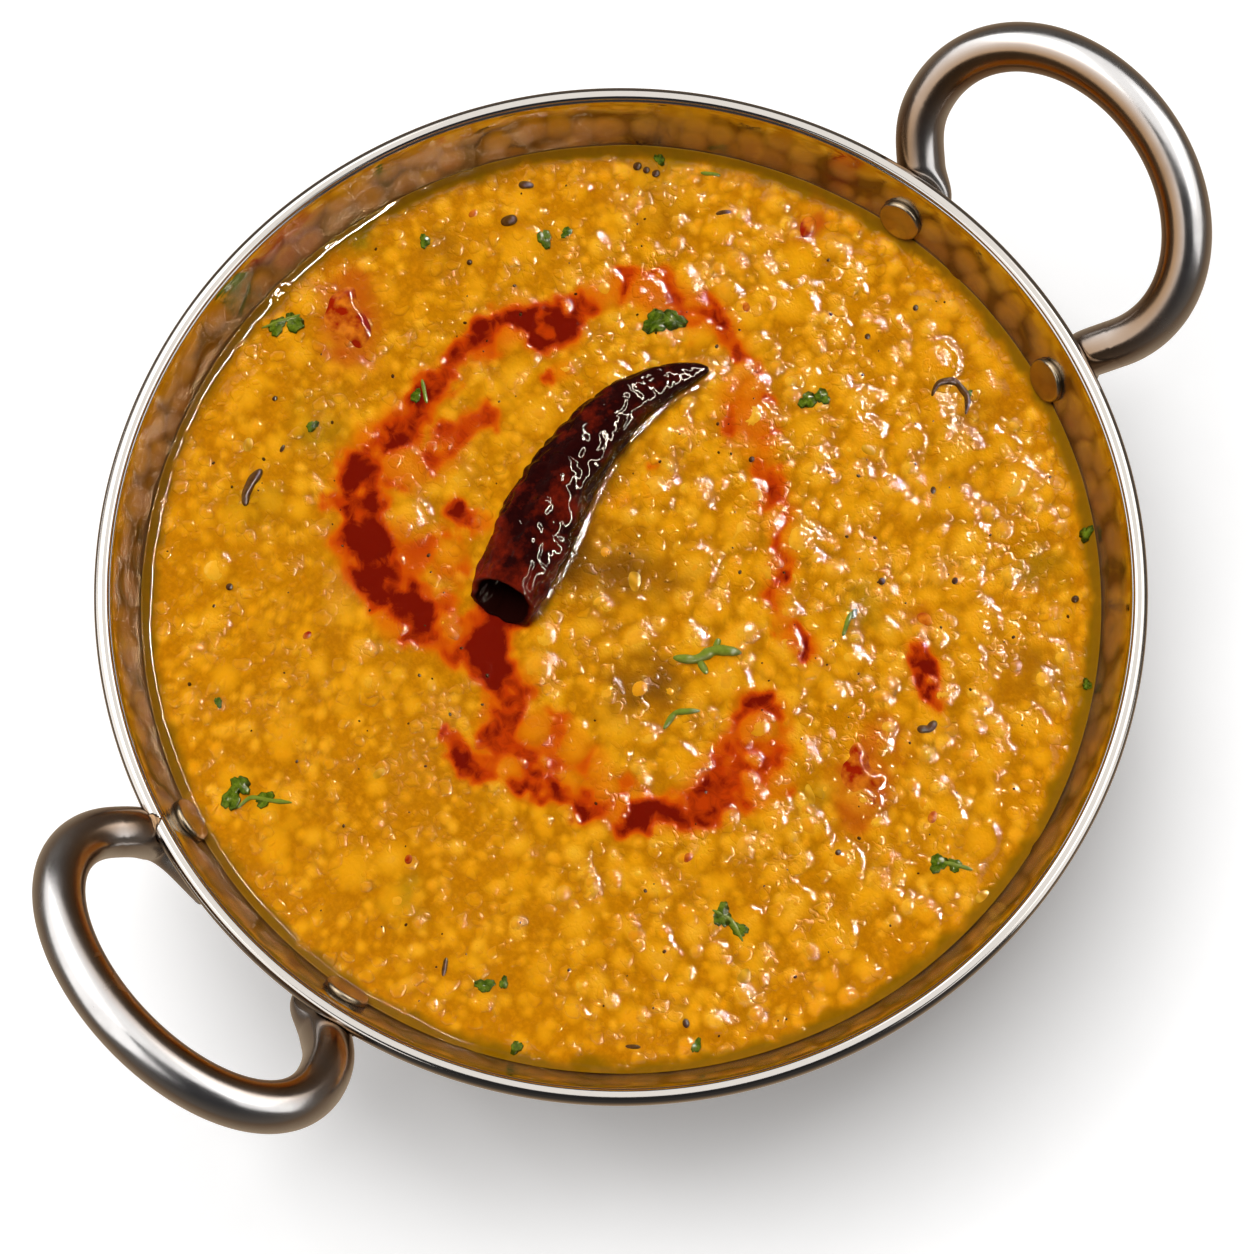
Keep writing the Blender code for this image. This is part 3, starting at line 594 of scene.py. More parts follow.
# The red oil: strokes of (x, y, half width, depth from 0 to 1) in mm.
OIL_STROKES = (
    ((4.5, 46, 2, .8), (10.5, 46.5, 2.6, .9), (17, 44.5, 3.6, 1.1), (21, 40, 4.2, 1.2), (27, 40, 3.2, .8),
     (33, 38, 3.3, .8), (38, 32.5, 3.4, .8), (40.5, 25, 3, .7), (40.5, 17.5, 2.7, .7),
     (36.5, 9.5, 2.5, .7)),
    ((33.5, 3, 2.2, .7), (31, -1.5, 2, .8), (27.5, -5, 2, .7), (23.5, -10, 1.9, .7), (21.2, -14, 2.9, 1.3),
     (17, -16.5, 1.3, .6), (16, -21, 1.4, .6), (14.5, -25.5, 2.2, 1.3)),
    ((10.5, 46.5, 2.2, .8), (4, 46, 2.4, .9), (-2.5, 45, 2.8, .8), (-9, 42.5, 3.8, .8), (-17, 42, 4.2, 1.2),
     (-22, 37, 4.4, 1.1), (-25.5, 30.5, 4.2, 1.1), (-27.5, 22.5, 4.4, 1.3), (-25, 14.5, 4.4, 1),
     (-21.5, 7, 4.2, .9), (-23.5, -0.5, 3.8, 1.2)),
    ((-12.5, 37, 4, .7), (-4.5, 36.5, 3.6, .6), (3.5, 36, 2.4, .6)),
    ((-13.2, -33.1, 4.6, .8), (-6, -33, 6.4, .75), (-0.5, -31.5, 5.6, .75), (3.2, -28.2, 3.4, .9)),
    ((-4, -36, 3, .6), (-2, -40, 2.2, .5)), ((-22.6, -8, 3, .6), (-23, -13.5, 2.6, .5)),
    ((35, 13, 3.6, .62), (34, 7, 3.4, .60), (30.5, 0, 3.2, .62), (26, -8, 3, .6)),
    ((17, 44, 3.4, .6), (8, 45.5, 3.2, .5)), ((36, 33, 4.2, .6), (39.5, 26, 4, .6)),
    ((-23.5, 0, 3.2, .8), (-28, -4, 4, .7), (-31.5, -9, 3.2, .7), (-28, -17.5, 2, 1.1),
     (-23.5, -26, 2.4, 1.1), (-18.5, -31, 3, 1), (-12.5, -34.5, 3.8, .8), (-6.5, -33, 4.4, .7),
     (0.5, -31, 3.6, .7), (4.5, -29, 2.6, .9)),
    ((-35.5, 1.5, 1.3, .8), (-35.5, -3, 1.8, .9), (-32.5, -10.5, 2, .9), (-28.2, -18.5, 1.8, 1.1)),
    ((-7.5, -36.5, 1.8, .5), (-3.6, -39.5, 1.2, .5)), ((14, 34.5, 1.2, .6), (18, 33, 1.6, .8)),
    ((-11, 25.5, 2.2, 1.1), (-9, 23, 1.8, .9)),
    ((-22.5, 6, 3.8, 1), (-19.5, 10, 4, 1.2), (-14.5, 8, 3, .8)),
    ((-26, 33, 4.5, .5), (-20, 27, 5, .45), (-16.5, 21, 4, .4)), ((-28, -8, 5, .5), (-22, -24, 4.5, .5)),
    ((31.5, 9.5, 2.2, .6), (33.5, 6.5, 2, .7)), ((-22, -15, 1.8, .5), (-20, -17.5, 1.4, .4)),
    ((28.5, -36.5, 1.8, 1), (24.5, -44.5, 1.5, 1.3)), ((16.5, 12.8, 1, .5), (17.5, 12.5, 1, .4)),
    ((9.5, 12, 1.2, .5), (10.5, 11.5, 1, .5)),
)


def along_strokes(strokes, x, y):
    """How deep the strokes lie at points: for each piece of a stroke, its depth times a round
    edge that falls from 1 on the line to 0 at its half width; the deepest counts."""
    best = np.zeros(x.shape)
    for stroke in strokes:
        for (x0, y0, w0, d0), (x1, y1, w1, d1) in zip(stroke, stroke[1:]):
            span = max((x1 - x0) ** 2 + (y1 - y0) ** 2, 1e-6)
            share = np.clip(((x - x0) * (x1 - x0) + (y - y0) * (y1 - y0)) / span, 0, 1)
            gap = np.hypot(x - x0 - share * (x1 - x0), y - y0 - share * (y1 - y0))
            edge_share = gap / (w0 + share * (w1 - w0))
            best = np.maximum(best, (d0 + share * (d1 - d0)) * ease(1.35, 0.35, edge_share))
    return best


# The chilli lies in the dal, so its place is settled here; its own section makes it.
CHILLI_PATH = np.array([(-15.9, 10.2), (2.3, 18.2), (17.6, 27.6), (34.2, 17.9)])
CHILLI_HALF_WIDTH = 6.5
CHILLI_WIDEST = 0.22                          # where it is widest, as a share of its length
CHILLI_LIFT = (3.7, 3.5, 1.6)                 # centre above the dal: stalk end, middle, tip
CHILLI_FLATNESS = 0.78


def chilli_line(t):
    """Centre, heading and half width along the chilli: a cubic seen from above, an arch from
    the side, and a horn's taper, all in mm above the dal's level."""
    start, middle_lift, tip = CHILLI_LIFT
    rise = start * (1 - t) ** 2 + 2 * middle_lift * t * (1 - t) + tip * t * t
    centre = np.concatenate([cubic(CHILLI_PATH, t), rise[:, None]], 1)
    taper = (1 - np.clip((t - CHILLI_WIDEST) / (1.005 - CHILLI_WIDEST), 0, 1)) ** 0.48
    half = CHILLI_HALF_WIDTH * np.where(t < CHILLI_WIDEST, 0.84 + 0.7 * t, taper)
    return centre, unit(np.gradient(centre, axis=0)), half


def gap_to_chilli(x, y):
    """Distance in mm from the chilli's side, seen from above, at the dal's level."""
    line, _, half = chilli_line(np.linspace(0.07, 1, 60))
    gap = np.full(x.shape, 99.0)
    for (px, py, _), wide in zip(line, half):
        gap = np.minimum(gap, np.hypot(x - px, y - py) - 0.93 * wide)
    return gap


warp_x = 2.6 * (noise(lattice, 3.2, 41) - 0.5) + 1.6 * (noise(lattice, 1.3, 42) - 0.5)
warp_y = 2.6 * (noise(lattice, 3.2, 43) - 0.5) + 1.6 * (noise(lattice, 1.3, 44) - 0.5)
oil_bed = along_strokes(OIL_STROKES, east + warp_x, north + warp_y)
oil_bed *= 0.32 + 1.0 * noise(lattice, 2.8, 47) + 0.40 * noise(lattice, 1.0, 48)

wall_gap = np.maximum(level_radius - from_middle, 0)
calm = ease(1.6, 3.4, wall_gap)
gravy = (swell + mush) * (0.08 + 0.92 * calm) * (1 - 0.75 * np.minimum(oil_bed, 1))
to_chilli = gap_to_chilli(east, north)
mouth, mouth_heading = (part[0, :2] for part in chilli_line(np.linspace(0, 1, 40))[:2])
past_mouth = (lattice - mouth) @ mouth_heading
open_end = ease(1.5, -1.0, past_mouth)
gravy *= ease(0.2, 2.4, to_chilli)
gravy += MENISCUS * np.exp(-np.maximum(to_chilli, 0) / MENISCUS_REACH) * (1 - open_end)

sums, tones, glow, climb = (np.zeros(east.shape) for _ in range(4))
for x, y, long, wide, degrees, top in np.concatenate([big, middling, small]):
    near = long + 2.0
    a, b = (np.array([x, y]) + FIELD - near) / CELL, (np.array([x, y]) + FIELD + near) / CELL
    window = tuple(slice(max(int(p), 0), int(q) + 2) for p, q in zip(a, b))
    dx, dy = east[window] - x, north[window] - y
    c, s = math.cos(math.radians(degrees)), math.sin(math.radians(degrees))
    across_square = ((dx * c + dy * s) / long) ** 2 + ((dy * c - dx * s) / wide) ** 2
    dome = np.sqrt(np.clip(1 - across_square, 0, 1))
    bump = top - PLUMP * wide * (1 - dome)
    weight = np.where(across_square < 1, np.exp(bump / MELT), 0)
    if long > 1.8 and top > 0.1:              # gravy climbs round a lentil that stands out
        away = wide * (np.sqrt(np.maximum(across_square, 1)) - 1)
        climb[window] = np.maximum(climb[window], min(0.5, 0.25 + 0.3 * top) * np.exp(-away / 0.5))
    sums[window] += weight
    tones[window] += weight * scatter(np.array([[int(x * 50), int(y * 50)]]), 51)[0]
    glow[window] = np.maximum(glow[window], dome ** 1.6 * math.exp(min(0, top) / 0.5))
near_chilli = ease(0.6, 2.0, to_chilli)
base = np.exp((gravy + climb * calm * near_chilli) / MELT)
relief_mm = MELT * np.log(base + sums * (calm * near_chilli * 0.999 + 0.001))
lentil_mask = (sums / (base + sums)) * ease(0.2, 2.0, wall_gap) * near_chilli
tone_mask = np.where(sums > 0, tones / np.maximum(sums, 1e-9), 0.5)


def blurred(field, radius):
    """A field averaged over a square of the given half width in mm, by running sums."""
    reach = int(radius / CELL)
    for axis in (0, 1):
        padded = np.pad(field, [(reach + 1, reach) if k == axis else (0, 0) for k in (0, 1)], mode="edge")
        run = np.cumsum(padded, axis=axis)
        high = np.take(run, np.arange(2 * reach + 1, run.shape[axis]), axis=axis)
        low = np.take(run, np.arange(0, run.shape[axis] - 2 * reach - 1), axis=axis)
        field = (high - low) / (2 * reach + 1)
    return field


# Painted shade: where the surface lies below its blurred surroundings, between the lentils, the colour is
# darkened; partly this is the deeper gravy there.
hollow = ease(0.02, 0.42, blurred(blurred(relief_mm, 1.4), 1.4) - relief_mm) * calm

# The oil lies level in its bed: lentils that stand above it stay bare. The dal is pressed down
# under the chilli, behind its mouth, so that none shows inside it.
oil_top = 0.10 + 0.25 * oil_bed
stands = relief_mm - oil_top
halo = blurred(blurred(oil_bed, 0.8), 0.8)
relief_mm -= 3.0 * ease(-0.3, -1.5, to_chilli) * ease(-1.6, -0.9, past_mouth)
oil_mask = np.maximum(np.clip(oil_bed, 0, 1.25) * ease(0.30, -0.25, stands), 0.27 * np.minimum(1.6 * halo, 1))
oil_film = np.exp((oil_top - 0.26) / MELT) * np.minimum(oil_bed, 1)
relief_mm = np.where(oil_bed > 0.05, MELT * np.log(np.exp(relief_mm / MELT) + oil_film), relief_mm)
relief_mm, oil_mask, lentil_mask = (blurred(field, 0.2) for field in (relief_mm, oil_mask, lentil_mask))


def sample(field, x, y):
    """A lattice field at points in mm, by straight blending between its four nearest cells."""
    u, v = (x + FIELD) / CELL, (y + FIELD) / CELL
    i, j = np.clip(u.astype(int), 0, len(ticks) - 2), np.clip(v.astype(int), 0, len(ticks) - 2)
    fu, fv = np.clip(u - i, 0, 1), np.clip(v - j, 0, 1)
    return ((field[i, j] * (1 - fu) + field[i + 1, j] * fu) * (1 - fv)
            + (field[i, j + 1] * (1 - fu) + field[i + 1, j + 1] * fu) * fv)


def creep(x, y):
    """How far the gravy climbs the wall, in mm: nothing until a wavering line a little inside
    the wall, then a straight slope, with a small round at the foot (a softened corner)."""
    spot = np.stack([x, y], -1)
    foot = 1.0 + 0.6 * (noise(spot, 9.0, 45) - 0.5) + 0.16 * (noise(spot, 2.6, 46) - 0.5)
    gap = level_radius - np.hypot(x, y)
    return 0.80 * FOOT_ROUND * np.log1p(np.exp(np.clip((foot - gap) / FOOT_ROUND, -30, 30)))


def dal_height(x, y):
    """Height of the dal's surface, in metres, at a place in mm."""
    x, y = np.asarray(x, float), np.asarray(y, float)
    return DAL_LEVEL + (sample(relief_mm, x, y) + creep(x, y)) * MM


# The surface is a square grid bent into a disc, so that its quads are all about as large. Its
# last rings are close together, to draw the creep up the wall finely. Below its edge a skirt
# follows the wall, hidden in the steel, down to a flat underside.
GRID = 306
FINE_RINGS, FINE_BAND = 16, 2.5
INTO_WALL, OFF_BASE = 0.3 * MM, 0.3 * MM
steps = np.linspace(-1, 1, GRID + 1)
u, v = np.meshgrid(steps, steps, indexing="ij")
wide_u = abs(u) > abs(v)
ring_share = np.where(wide_u, u, v)
safe_u, safe_v = np.where(u == 0, 1, u), np.where(v == 0, 1, v)
bend = np.where(wide_u, math.pi / 4 * v / safe_u, math.pi / 2 - math.pi / 4 * u / safe_v)
split = 1 - 2 * FINE_RINGS / GRID
edge_mm = level_radius + 0.35
steps_out = np.interp(abs(ring_share), [0, split, 1], [0, edge_mm - FINE_BAND, edge_mm])
reach_mm = np.sign(ring_share) * steps_out
disc_x, disc_y = reach_mm * np.cos(bend), reach_mm * np.sin(bend)
top_z = dal_height(disc_x, disc_y)
surface = np.stack([disc_x * MM, disc_y * MM, top_z], -1).reshape(-1, 3)
index = np.arange((GRID + 1) ** 2).reshape(GRID + 1, GRID + 1)
quads = np.stack([index[:-1, :-1], index[1:, :-1], index[1:, 1:], index[:-1, 1:]], -1).reshape(-1, 4)
border = np.concatenate([index[:-1, 0], index[-1, :-1], index[:0:-1, -1], index[0, :0:-1]])
border_points = surface[border]
bearing = np.arctan2(border_points[:, 1], border_points[:, 0])
skirt = []
count = len(border)
for height in (DAL_LEVEL - 3 * MM, DAL_LEVEL - 14 * MM, DAL_LEVEL - 28 * MM, WALL + OFF_BASE):
    radius = float(wall_at(height, INTO_WALL if height > 10 * MM else -OFF_BASE))
    skirt.append(np.stack([radius * np.cos(bearing), radius * np.sin(bearing), np.full(count, height)], -1))
rows = [border] + [len(surface) + k * count + np.arange(count) for k in range(len(skirt))]
sides_down = [np.stack([two, np.roll(two, -1), np.roll(one, -1), one], -1)
              for one, two in itertools.pairwise(rows)]
middle = len(surface) + len(skirt) * count
underside_fan = np.stack([np.full(count, middle), np.roll(rows[-1], -1), rows[-1]], -1)
points = np.concatenate([surface, *skirt, [[0, 0, WALL + OFF_BASE]]])
faces = quads.tolist() + np.concatenate(sides_down).tolist() + underside_fan.tolist()

# Stains: (x, y, radius, strength) in mm, soft round patches of colour under the surface.
TOMATO_STAINS = (
    (-2.6, 62.3, 6, 1), (-5.5, 57.5, 5, .7), (1, 67, 4.5, .6), (8.3, -46.9, 5.5, 1), (13, -43, 4, .8),
    (4, -51, 3.5, .6), (62.5, 25.5, 4, .9), (32.5, -34.5, 3, .5), (31.5, 7.5, 3.5, .4),
)
BROWN_STAINS = (
    (2.5, 3.5, 8, .95), (-2, 8, 6, .85), (-9, -12.5, 6.5, .9), (-5, -15, 5.5, .95), (16, 62, 4, .5),
    (7, -4, 5, .6), (40, -52, 7, .5), (60, -15, 7, .35), (48, 44, 6, .35),
)
GREEN_STAINS = (
    (-18, 52, 6, .5), (-3, 45.5, 3, .5), (26, -26, 5, .5), (-33, 49, 6, .3), (52, 50, 5, .4),
    (44, -60, 5, .5), (8, 71.5, 3.5, .8), (52, -40, 5, .5), (2, -44.5, 3, .5), (-56, -14, 4, .5),
)


def patches(stains, x, y):
    """Soft round patches: each falls off as a bell curve; together they never pass 1."""
    clear = np.ones(x.shape)
    for px, py, radius, strength in stains:
        clear *= 1 - strength * np.exp(-((x - px) ** 2 + (y - py) ** 2) / (0.7 * radius) ** 2)
    return 1 - clear


fields = {"lentil": lentil_mask, "tone": tone_mask, "glow": blurred(glow, 0.3), "hollow": hollow,
          "oil": oil_mask, "warp_x": warp_x, "warp_y": warp_y}
masks = {name: sample(field, disc_x, disc_y) for name, field in fields.items()}
pulled_x, pulled_y = masks.pop("warp_x"), masks.pop("warp_y")
for name, stains in (("tomato", TOMATO_STAINS), ("brown", BROWN_STAINS), ("green", GREEN_STAINS)):
    masks[name] = patches(stains, disc_x + pulled_x * 1.4, disc_y + pulled_y * 1.4)
masks["edge"] = ease(2.7, 0.4, level_radius - np.hypot(disc_x, disc_y) + 0.6 * pulled_x)
tail = np.zeros(len(points) - len(surface))
masks = {name: np.append(values, tail) for name, values in masks.items()}

# Everything wet is dull in itself, under one thin glossy coat of oil and water.
WET = {"Roughness": 0.5, "Specular IOR Level": 0.0, "Coat Weight": 0.7, "Coat Roughness": 0.06}

# Cooked dal: soft yellow lentils seen through a wet amber gravy. Light goes a few millimetres
# into both, and everything has one thin glossy skin of oil.
dal_finish, tree, shader, coords = new_finish("cooked_dal_with_chilli_oil")
stir = put(tree, "TexNoise", {"Vector": coords, "Scale": per(2.2 * MM), "Detail": 1.0}, noise_dimensions="2D")
pull = put(tree, "VectorMath", [stir.outputs["Color"], (1.6 * MM, 1.6 * MM, 0), coords],
           operation="MULTIPLY_ADD")
grain = put(tree, "TexNoise", {"Vector": coords, "Scale": per(1.1 * MM), "Detail": 3.0, "Roughness": 0.62},
            noise_dimensions="2D")
patch = put(tree, "TexNoise", {"Vector": coords, "Scale": per(7 * MM), "Detail": 2.0}, noise_dimensions="2D")
mask = {name: put(tree, "Attribute", attribute_name=name).outputs["Fac"] for name in masks}
# Crumbs of lentil, too small to be shapes of their own, in two sizes: round domes in the
# middles of random cells, of which only some are kept.
crumbs = []
for size, keep in ((2.8 * MM, 0.52), (1.3 * MM, 0.60)):
    cells = put(tree, "TexVoronoi", {"Vector": pull, "Scale": per(size)}, voronoi_dimensions="2D")
    chance = put(tree, "SeparateColor", [cells.outputs["Color"]])
    crowded = put(tree, "Math", [patch, 1.4, chance.outputs["Red"]], operation="MULTIPLY_ADD")
    kept = put(tree, "MapRange", [crowded, keep + 0.7, keep + 0.95])
    squared = put(tree, "Math", [cells, cells], operation="MULTIPLY")
    fall = put(tree, "MapRange", [squared, 0.13, 0.0])
    dome = put(tree, "Math", [fall], operation="SQRT")
    crumbs.append(put(tree, "Math", [kept, dome], operation="MULTIPLY"))
both = put(tree, "Math", [crumbs[1], 0.5, crumbs[0]], operation="MULTIPLY_ADD")
clear_of_oil = put(tree, "MapRange", [mask["oil"], 0.7, 0.3, 0.05])
clear_of_edge = put(tree, "MapRange", [mask["edge"], 0.9, 0.3])
clear = put(tree, "Math", [clear_of_oil, clear_of_edge], operation="MULTIPLY")
pimples = put(tree, "TexNoise", {"Vector": coords, "Scale": per(0.55 * MM), "Detail": 1.0},
              noise_dimensions="2D")
rough = put(tree, "Math", [mask["lentil"], 0.28, 0.16], operation="MULTIPLY_ADD")
crumbly = put(tree, "Math", [pimples, rough, both], operation="MULTIPLY_ADD")
height = put(tree, "Math", [crumbly, clear], operation="MULTIPLY")

thin = put(tree, "Mix", {0: patch, 6: "#B46C00", 7: "#D08400"}, data_type="RGBA")
pulse = put(tree, "Mix", {0: mask["tone"], 6: "#EC9606", 7: "#FFBA2A"}, data_type="RGBA")
broken = put(tree, "MapRange", [grain, 0.40, 0.70, 0, 0.6])
crumb_share = put(tree, "Math", [both, 0.50], operation="MULTIPLY", use_clamp=True)
thin_oil = put(tree, "MapRange", [mask["oil"], 0.03, 0.34])
more_oil = put(tree, "MapRange", [mask["oil"], 0.30, 0.62])
streaky = put(tree, "TexNoise", {"Vector": coords, "Scale": per(2.0 * MM), "Detail": 4.0, "Roughness": 0.65,
                                 "Distortion": 0.8}, noise_dimensions="2D")
drawn = put(tree, "Math", [streaky, 0.9, mask["oil"]], operation="MULTIPLY_ADD")
deep_oil = put(tree, "MapRange", [drawn, 1.05, 1.50])
glow_share, pulse_share, hollow_shade_share, edge_share = (
    put(tree, "Math", [mask[name], share], operation="MULTIPLY")
    for name, share in (("glow", 0.85), ("lentil", 0.85), ("hollow", 0.70), ("edge", 0.85)))
# The colours, painted over one another from the thin gravy up to the deepest oil. The dark amber
# in the hollows between lentils is partly the deeper gravy there and partly painted shade.
colour = thin
for share, layer in ((broken, "#DC8E04"), (glow_share, "#F6AA0C"), (crumb_share, "#F4A40C"),
                     (pulse_share, pulse), (hollow_shade_share, "#9A6200"), (mask["brown"], "#8A5408"),
                     (mask["green"], "#86700A"), (edge_share, "#7E5A00"), (mask["tomato"], "#C04A0C"),
                     (thin_oil, "#DA6000"), (more_oil, "#C03A00"), (deep_oil, "#781000")):
    colour = put(tree, "Mix", {0: share, 6: colour, 7: layer}, data_type="RGBA")
film = put(tree, "Bump", {"Height": height, "Distance": 0.28 * MM, "Strength": 1.0})
wire(tree, shader, WET | {"Base Color": colour, "Normal": film, "Coat Normal": film, "Coat Weight": 1.0,
                          "Coat Roughness": 0.03, "Coat IOR": 1.52, "Subsurface Weight": 0.25,
                          "Subsurface Radius": (1.0, 0.42, 0.10), "Subsurface Scale": 1.2 * MM})

dal = new_piece("dal_gravy", points, faces, dal_finish, masks)
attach(dal, "root")
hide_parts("dal")
lit["food"].append(dal)


# ---------------------------------------------------------------- whole lentils
# Lentils that kept their shape: plump, slightly uneven discs, sunk to above their middle.
def ball(sides, levels, first):
    """Rings of a ball of radius 1, from near its lowest point, at a polar angle first, to its top."""
    polar, angle = np.linspace(first, math.pi - first, levels), round_angles(sides)
    return np.stack([np.outer(np.sin(polar), np.cos(angle)), np.outer(np.sin(polar), np.sin(angle)),
                     -np.outer(np.cos(polar), np.ones(sides))], -1)


def lentil_shapes(rows, sides, levels):
    """One closed pebble for each row: an ellipsoid with its half sizes, turned about Z, raised
    to its height, and roughened by smooth noise."""
    shape, ball_faces = skin(ball(sides, levels, 0.12))
    x, y, long, wide, degrees, top = rows.T
    deep = PLUMP * wide
    local = shape * np.stack([long, wide, deep], -1)[:, None]
    a = np.radians(degrees)
    turned_x = local[..., 0] * np.cos(a)[:, None] - local[..., 1] * np.sin(a)[:, None]
    turned_y = local[..., 0] * np.sin(a)[:, None] + local[..., 1] * np.cos(a)[:, None]
    centres = np.stack([x, y, top - deep], -1)[:, None]
    placed = np.stack([turned_x, turned_y, local[..., 2]], -1) + centres
    uneven = 1 + 0.16 * (noise(placed, 1.7, 61) - 0.5)
    placed = centres + (placed - centres) * uneven[..., None]
    faces = [[corner + k * len(shape) for corner in face] for k in range(len(rows)) for face in ball_faces]
    return placed.reshape(-1, 3) * MM + np.array([0, 0, DAL_LEVEL]), faces, len(shape)


# Boiled lentil: a matt yellow skin under a wet film, paler where the seed leaf shows.
lentil_finish, tree, shader, coords = new_finish("boiled_lentil")
mottle = put(tree, "TexNoise", {"Vector": coords, "Scale": per(0.9 * MM), "Detail": 4.0, "Roughness": 0.6})
own = put(tree, "Attribute", attribute_name="tone").outputs["Fac"]
pulse = put(tree, "Mix", {0: own, 6: "#EC960A", 7: "#FDB62A"}, data_type="RGBA")
specked = put(tree, "MapRange", [mottle, 0.45, 0.7, 0, 0.5])
skinned = put(tree, "Mix", {0: specked, 6: pulse, 7: "#DD8B12"}, data_type="RGBA")
relief = put(tree, "Bump", {"Height": mottle, "Distance": 0.08 * MM, "Strength": 0.6})
wire(tree, shader, WET | {"Base Color": skinned, "Normal": relief, "Coat Normal": relief,
                          "Coat Weight": 1.0, "Coat Roughness": 0.03, "Subsurface Weight": 0.3,
                          "Subsurface Radius": (1.0, 0.5, 0.15), "Subsurface Scale": 1.2 * MM})

# Each kind: rows, least height that stands out, deepest oil it stands in, sides and levels.
for name, rows, least, most_oil, sides, levels in (
        ("whole_lentils", big, 0.22, 0.9, 14, 7), ("broken_lentils", middling, 0.30, 0.25, 10, 5)):
    off_wall = np.hypot(rows[:, 0], rows[:, 1]) < level_radius - 3.5 - rows[:, 2]
    bare = sample(oil_bed, rows[:, 0], rows[:, 1]) < most_oil
    off_chilli = gap_to_chilli(rows[:, 0], rows[:, 1]) > 0.6 * rows[:, 2]
    standing = rows[(rows[:, 5] > least) & off_wall & bare & off_chilli]
    points, faces, per_lentil = lentil_shapes(standing + np.array([0, 0, 0, 0, 0, 0.05]), sides, levels)
    tone = np.repeat(rng.random(len(standing)), per_lentil)
    piece = new_piece(name, points, faces, lentil_finish, {"tone": tone})
    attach(piece, "root")
    lit["food"].append(piece)


# ---------------------------------------------------------------- tomato
# Two soft pieces of cooked tomato, sunk almost level, lobed and flattened on top.
# Cooked tomato: torn flesh, from skin red to the orange of the gravy that soaks it.
tomato_finish = mottled("cooked_tomato", {"Scale": per(2.4 * MM), "Detail": 3.0},
                        "#9C1E02", "#DC7A16", {"Distance": 0.45 * MM, "Strength": 0.9},
                        WET | {"Coat Weight": 0.5, "Subsurface Weight": 0.2,
                               "Subsurface Radius": (1.0, 0.3, 0.15), "Subsurface Scale": 1.5 * MM},
                        spread=(0.40, 0.62))

# Each piece: length, width and turn in degrees, inside its packed box.
for name, (long, wide, degrees) in {"tomato_back": (12.5, 8.0, 75), "tomato_front": (12.0, 8.5, 62)}.items():
    low, high = (np.array(corner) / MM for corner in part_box(name))
    centre = (low + high) / 2
    shape, angle = ball(60, 25, 0.06), round_angles(60)
    lobes = 1 + 0.13 * np.sin(3 * angle + centre[0]) + 0.08 * np.sin(5 * angle - centre[1])
    shape[..., :2] *= lobes[None, :, None]
    local = shape * np.array([long / 2, wide / 2, (high[2] - low[2]) / 2])
    rings = about_z(local, degrees) + centre
    rings += (noise(rings, 2.2, 71)[..., None] - 0.5) * shape * 0.9
    rings[..., 2] = np.minimum(rings[..., 2], DAL_LEVEL / MM + 0.75 + 0.2 * noise(rings, 1.4, 72))
    piece = new_piece(name + "_flesh", *skin(rings * MM), tomato_finish)
    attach(piece, "root")
    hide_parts(name)
    lit["food"].append(piece)


# ---------------------------------------------------------------- chilli
# One dried red chilli, fried dark, lying on the dal like a bent horn. Its skin is thin,
# glossy and puckered in long folds, and the end where the stalk broke off is open.
STATIONS, INSIDE_STATIONS, CHILLI_SIDES = 210, 16, 96


def oval(reach, stations):
    """Offsets from the centre line at stations: a flattened circle of the given reaches."""
    return (side_way[stations][:, None] * (reach * np.cos(angle))[..., None]
            + up_way[stations][:, None] * (reach * CHILLI_FLATNESS * np.sin(angle))[..., None])


t = np.linspace(0, 1, STATIONS)
centre, heading, half = chilli_line(t)
side_way = unit(np.cross([0, 0, 1.0], heading))
up_way = np.cross(heading, side_way)
angle = round_angles(CHILLI_SIDES)
length = np.concatenate([[0], np.cumsum(np.linalg.norm(np.diff(centre, axis=0), axis=1))])
# Folds are noise on a tube whose length is squeezed, so that they run long; a crease is
# where that noise crosses its middle.
tube = np.stack([np.outer(half, np.cos(angle)), np.outer(half, np.sin(angle)),
                 np.outer(length, np.ones(CHILLI_SIDES))], -1)
long_folds = noise(tube * np.array([1, 1, 0.22]), 2.4, 81) - 0.5
creases = 1 - np.minimum(abs(noise(tube * np.array([1, 1, 0.8]), 2.1, 82) - 0.5) * 5, 1)
puckers = noise(tube * np.array([1, 1, 0.9]), 1.7, 83) - 0.5
dimples = noise(tube, 3.6, 84) - 0.5
fold = 1.05 * long_folds - 0.42 * creases + 0.62 * puckers + 0.9 * dimples
slim = np.clip(half / CHILLI_HALF_WIDTH, 0.15, 1)[:, None]
reach = half[:, None] + fold * slim - 0.1
outer = centre[:, None] + oval(reach, slice(None))
depth = np.linspace(0.14, 0, INSIDE_STATIONS)
inner_half = chilli_line(depth[::-1])[2][::-1] * (0.80 - 2.0 * depth)
steps_in = np.interp(depth, t, np.arange(STATIONS)).astype(int)
inner = centre[steps_in][:, None] + oval(inner_half[:, None] + 0.5 * fold[steps_in], steps_in)
ragged = 0.5 * (noise(np.stack([np.cos(angle), np.sin(angle)], -1) * 4, 1.3, 85) - 0.5)
# The mouth is torn off aslant, its upper lip further back.
lip = ragged - 1.3 + 2.0 * (1 + np.sin(angle))
rings = np.concatenate([inner, outer])
back = np.concatenate([0.6 * np.exp(-depth / 0.05) + 0.4, np.exp(-t / 0.15)])
rings += back[:, None, None] * (lip[:, None] * heading[0])
points, faces = skin(rings * MM + np.array([0, 0, DAL_LEVEL]))
along = np.concatenate([np.zeros(INSIDE_STATIONS), t])
inside = np.repeat([1.0, 0.0], [INSIDE_STATIONS, STATIONS])
masks = {"along": np.append(np.repeat(along, CHILLI_SIDES), [0, 1]),
         "inside": np.append(np.repeat(inside, CHILLI_SIDES), [1, 0])}

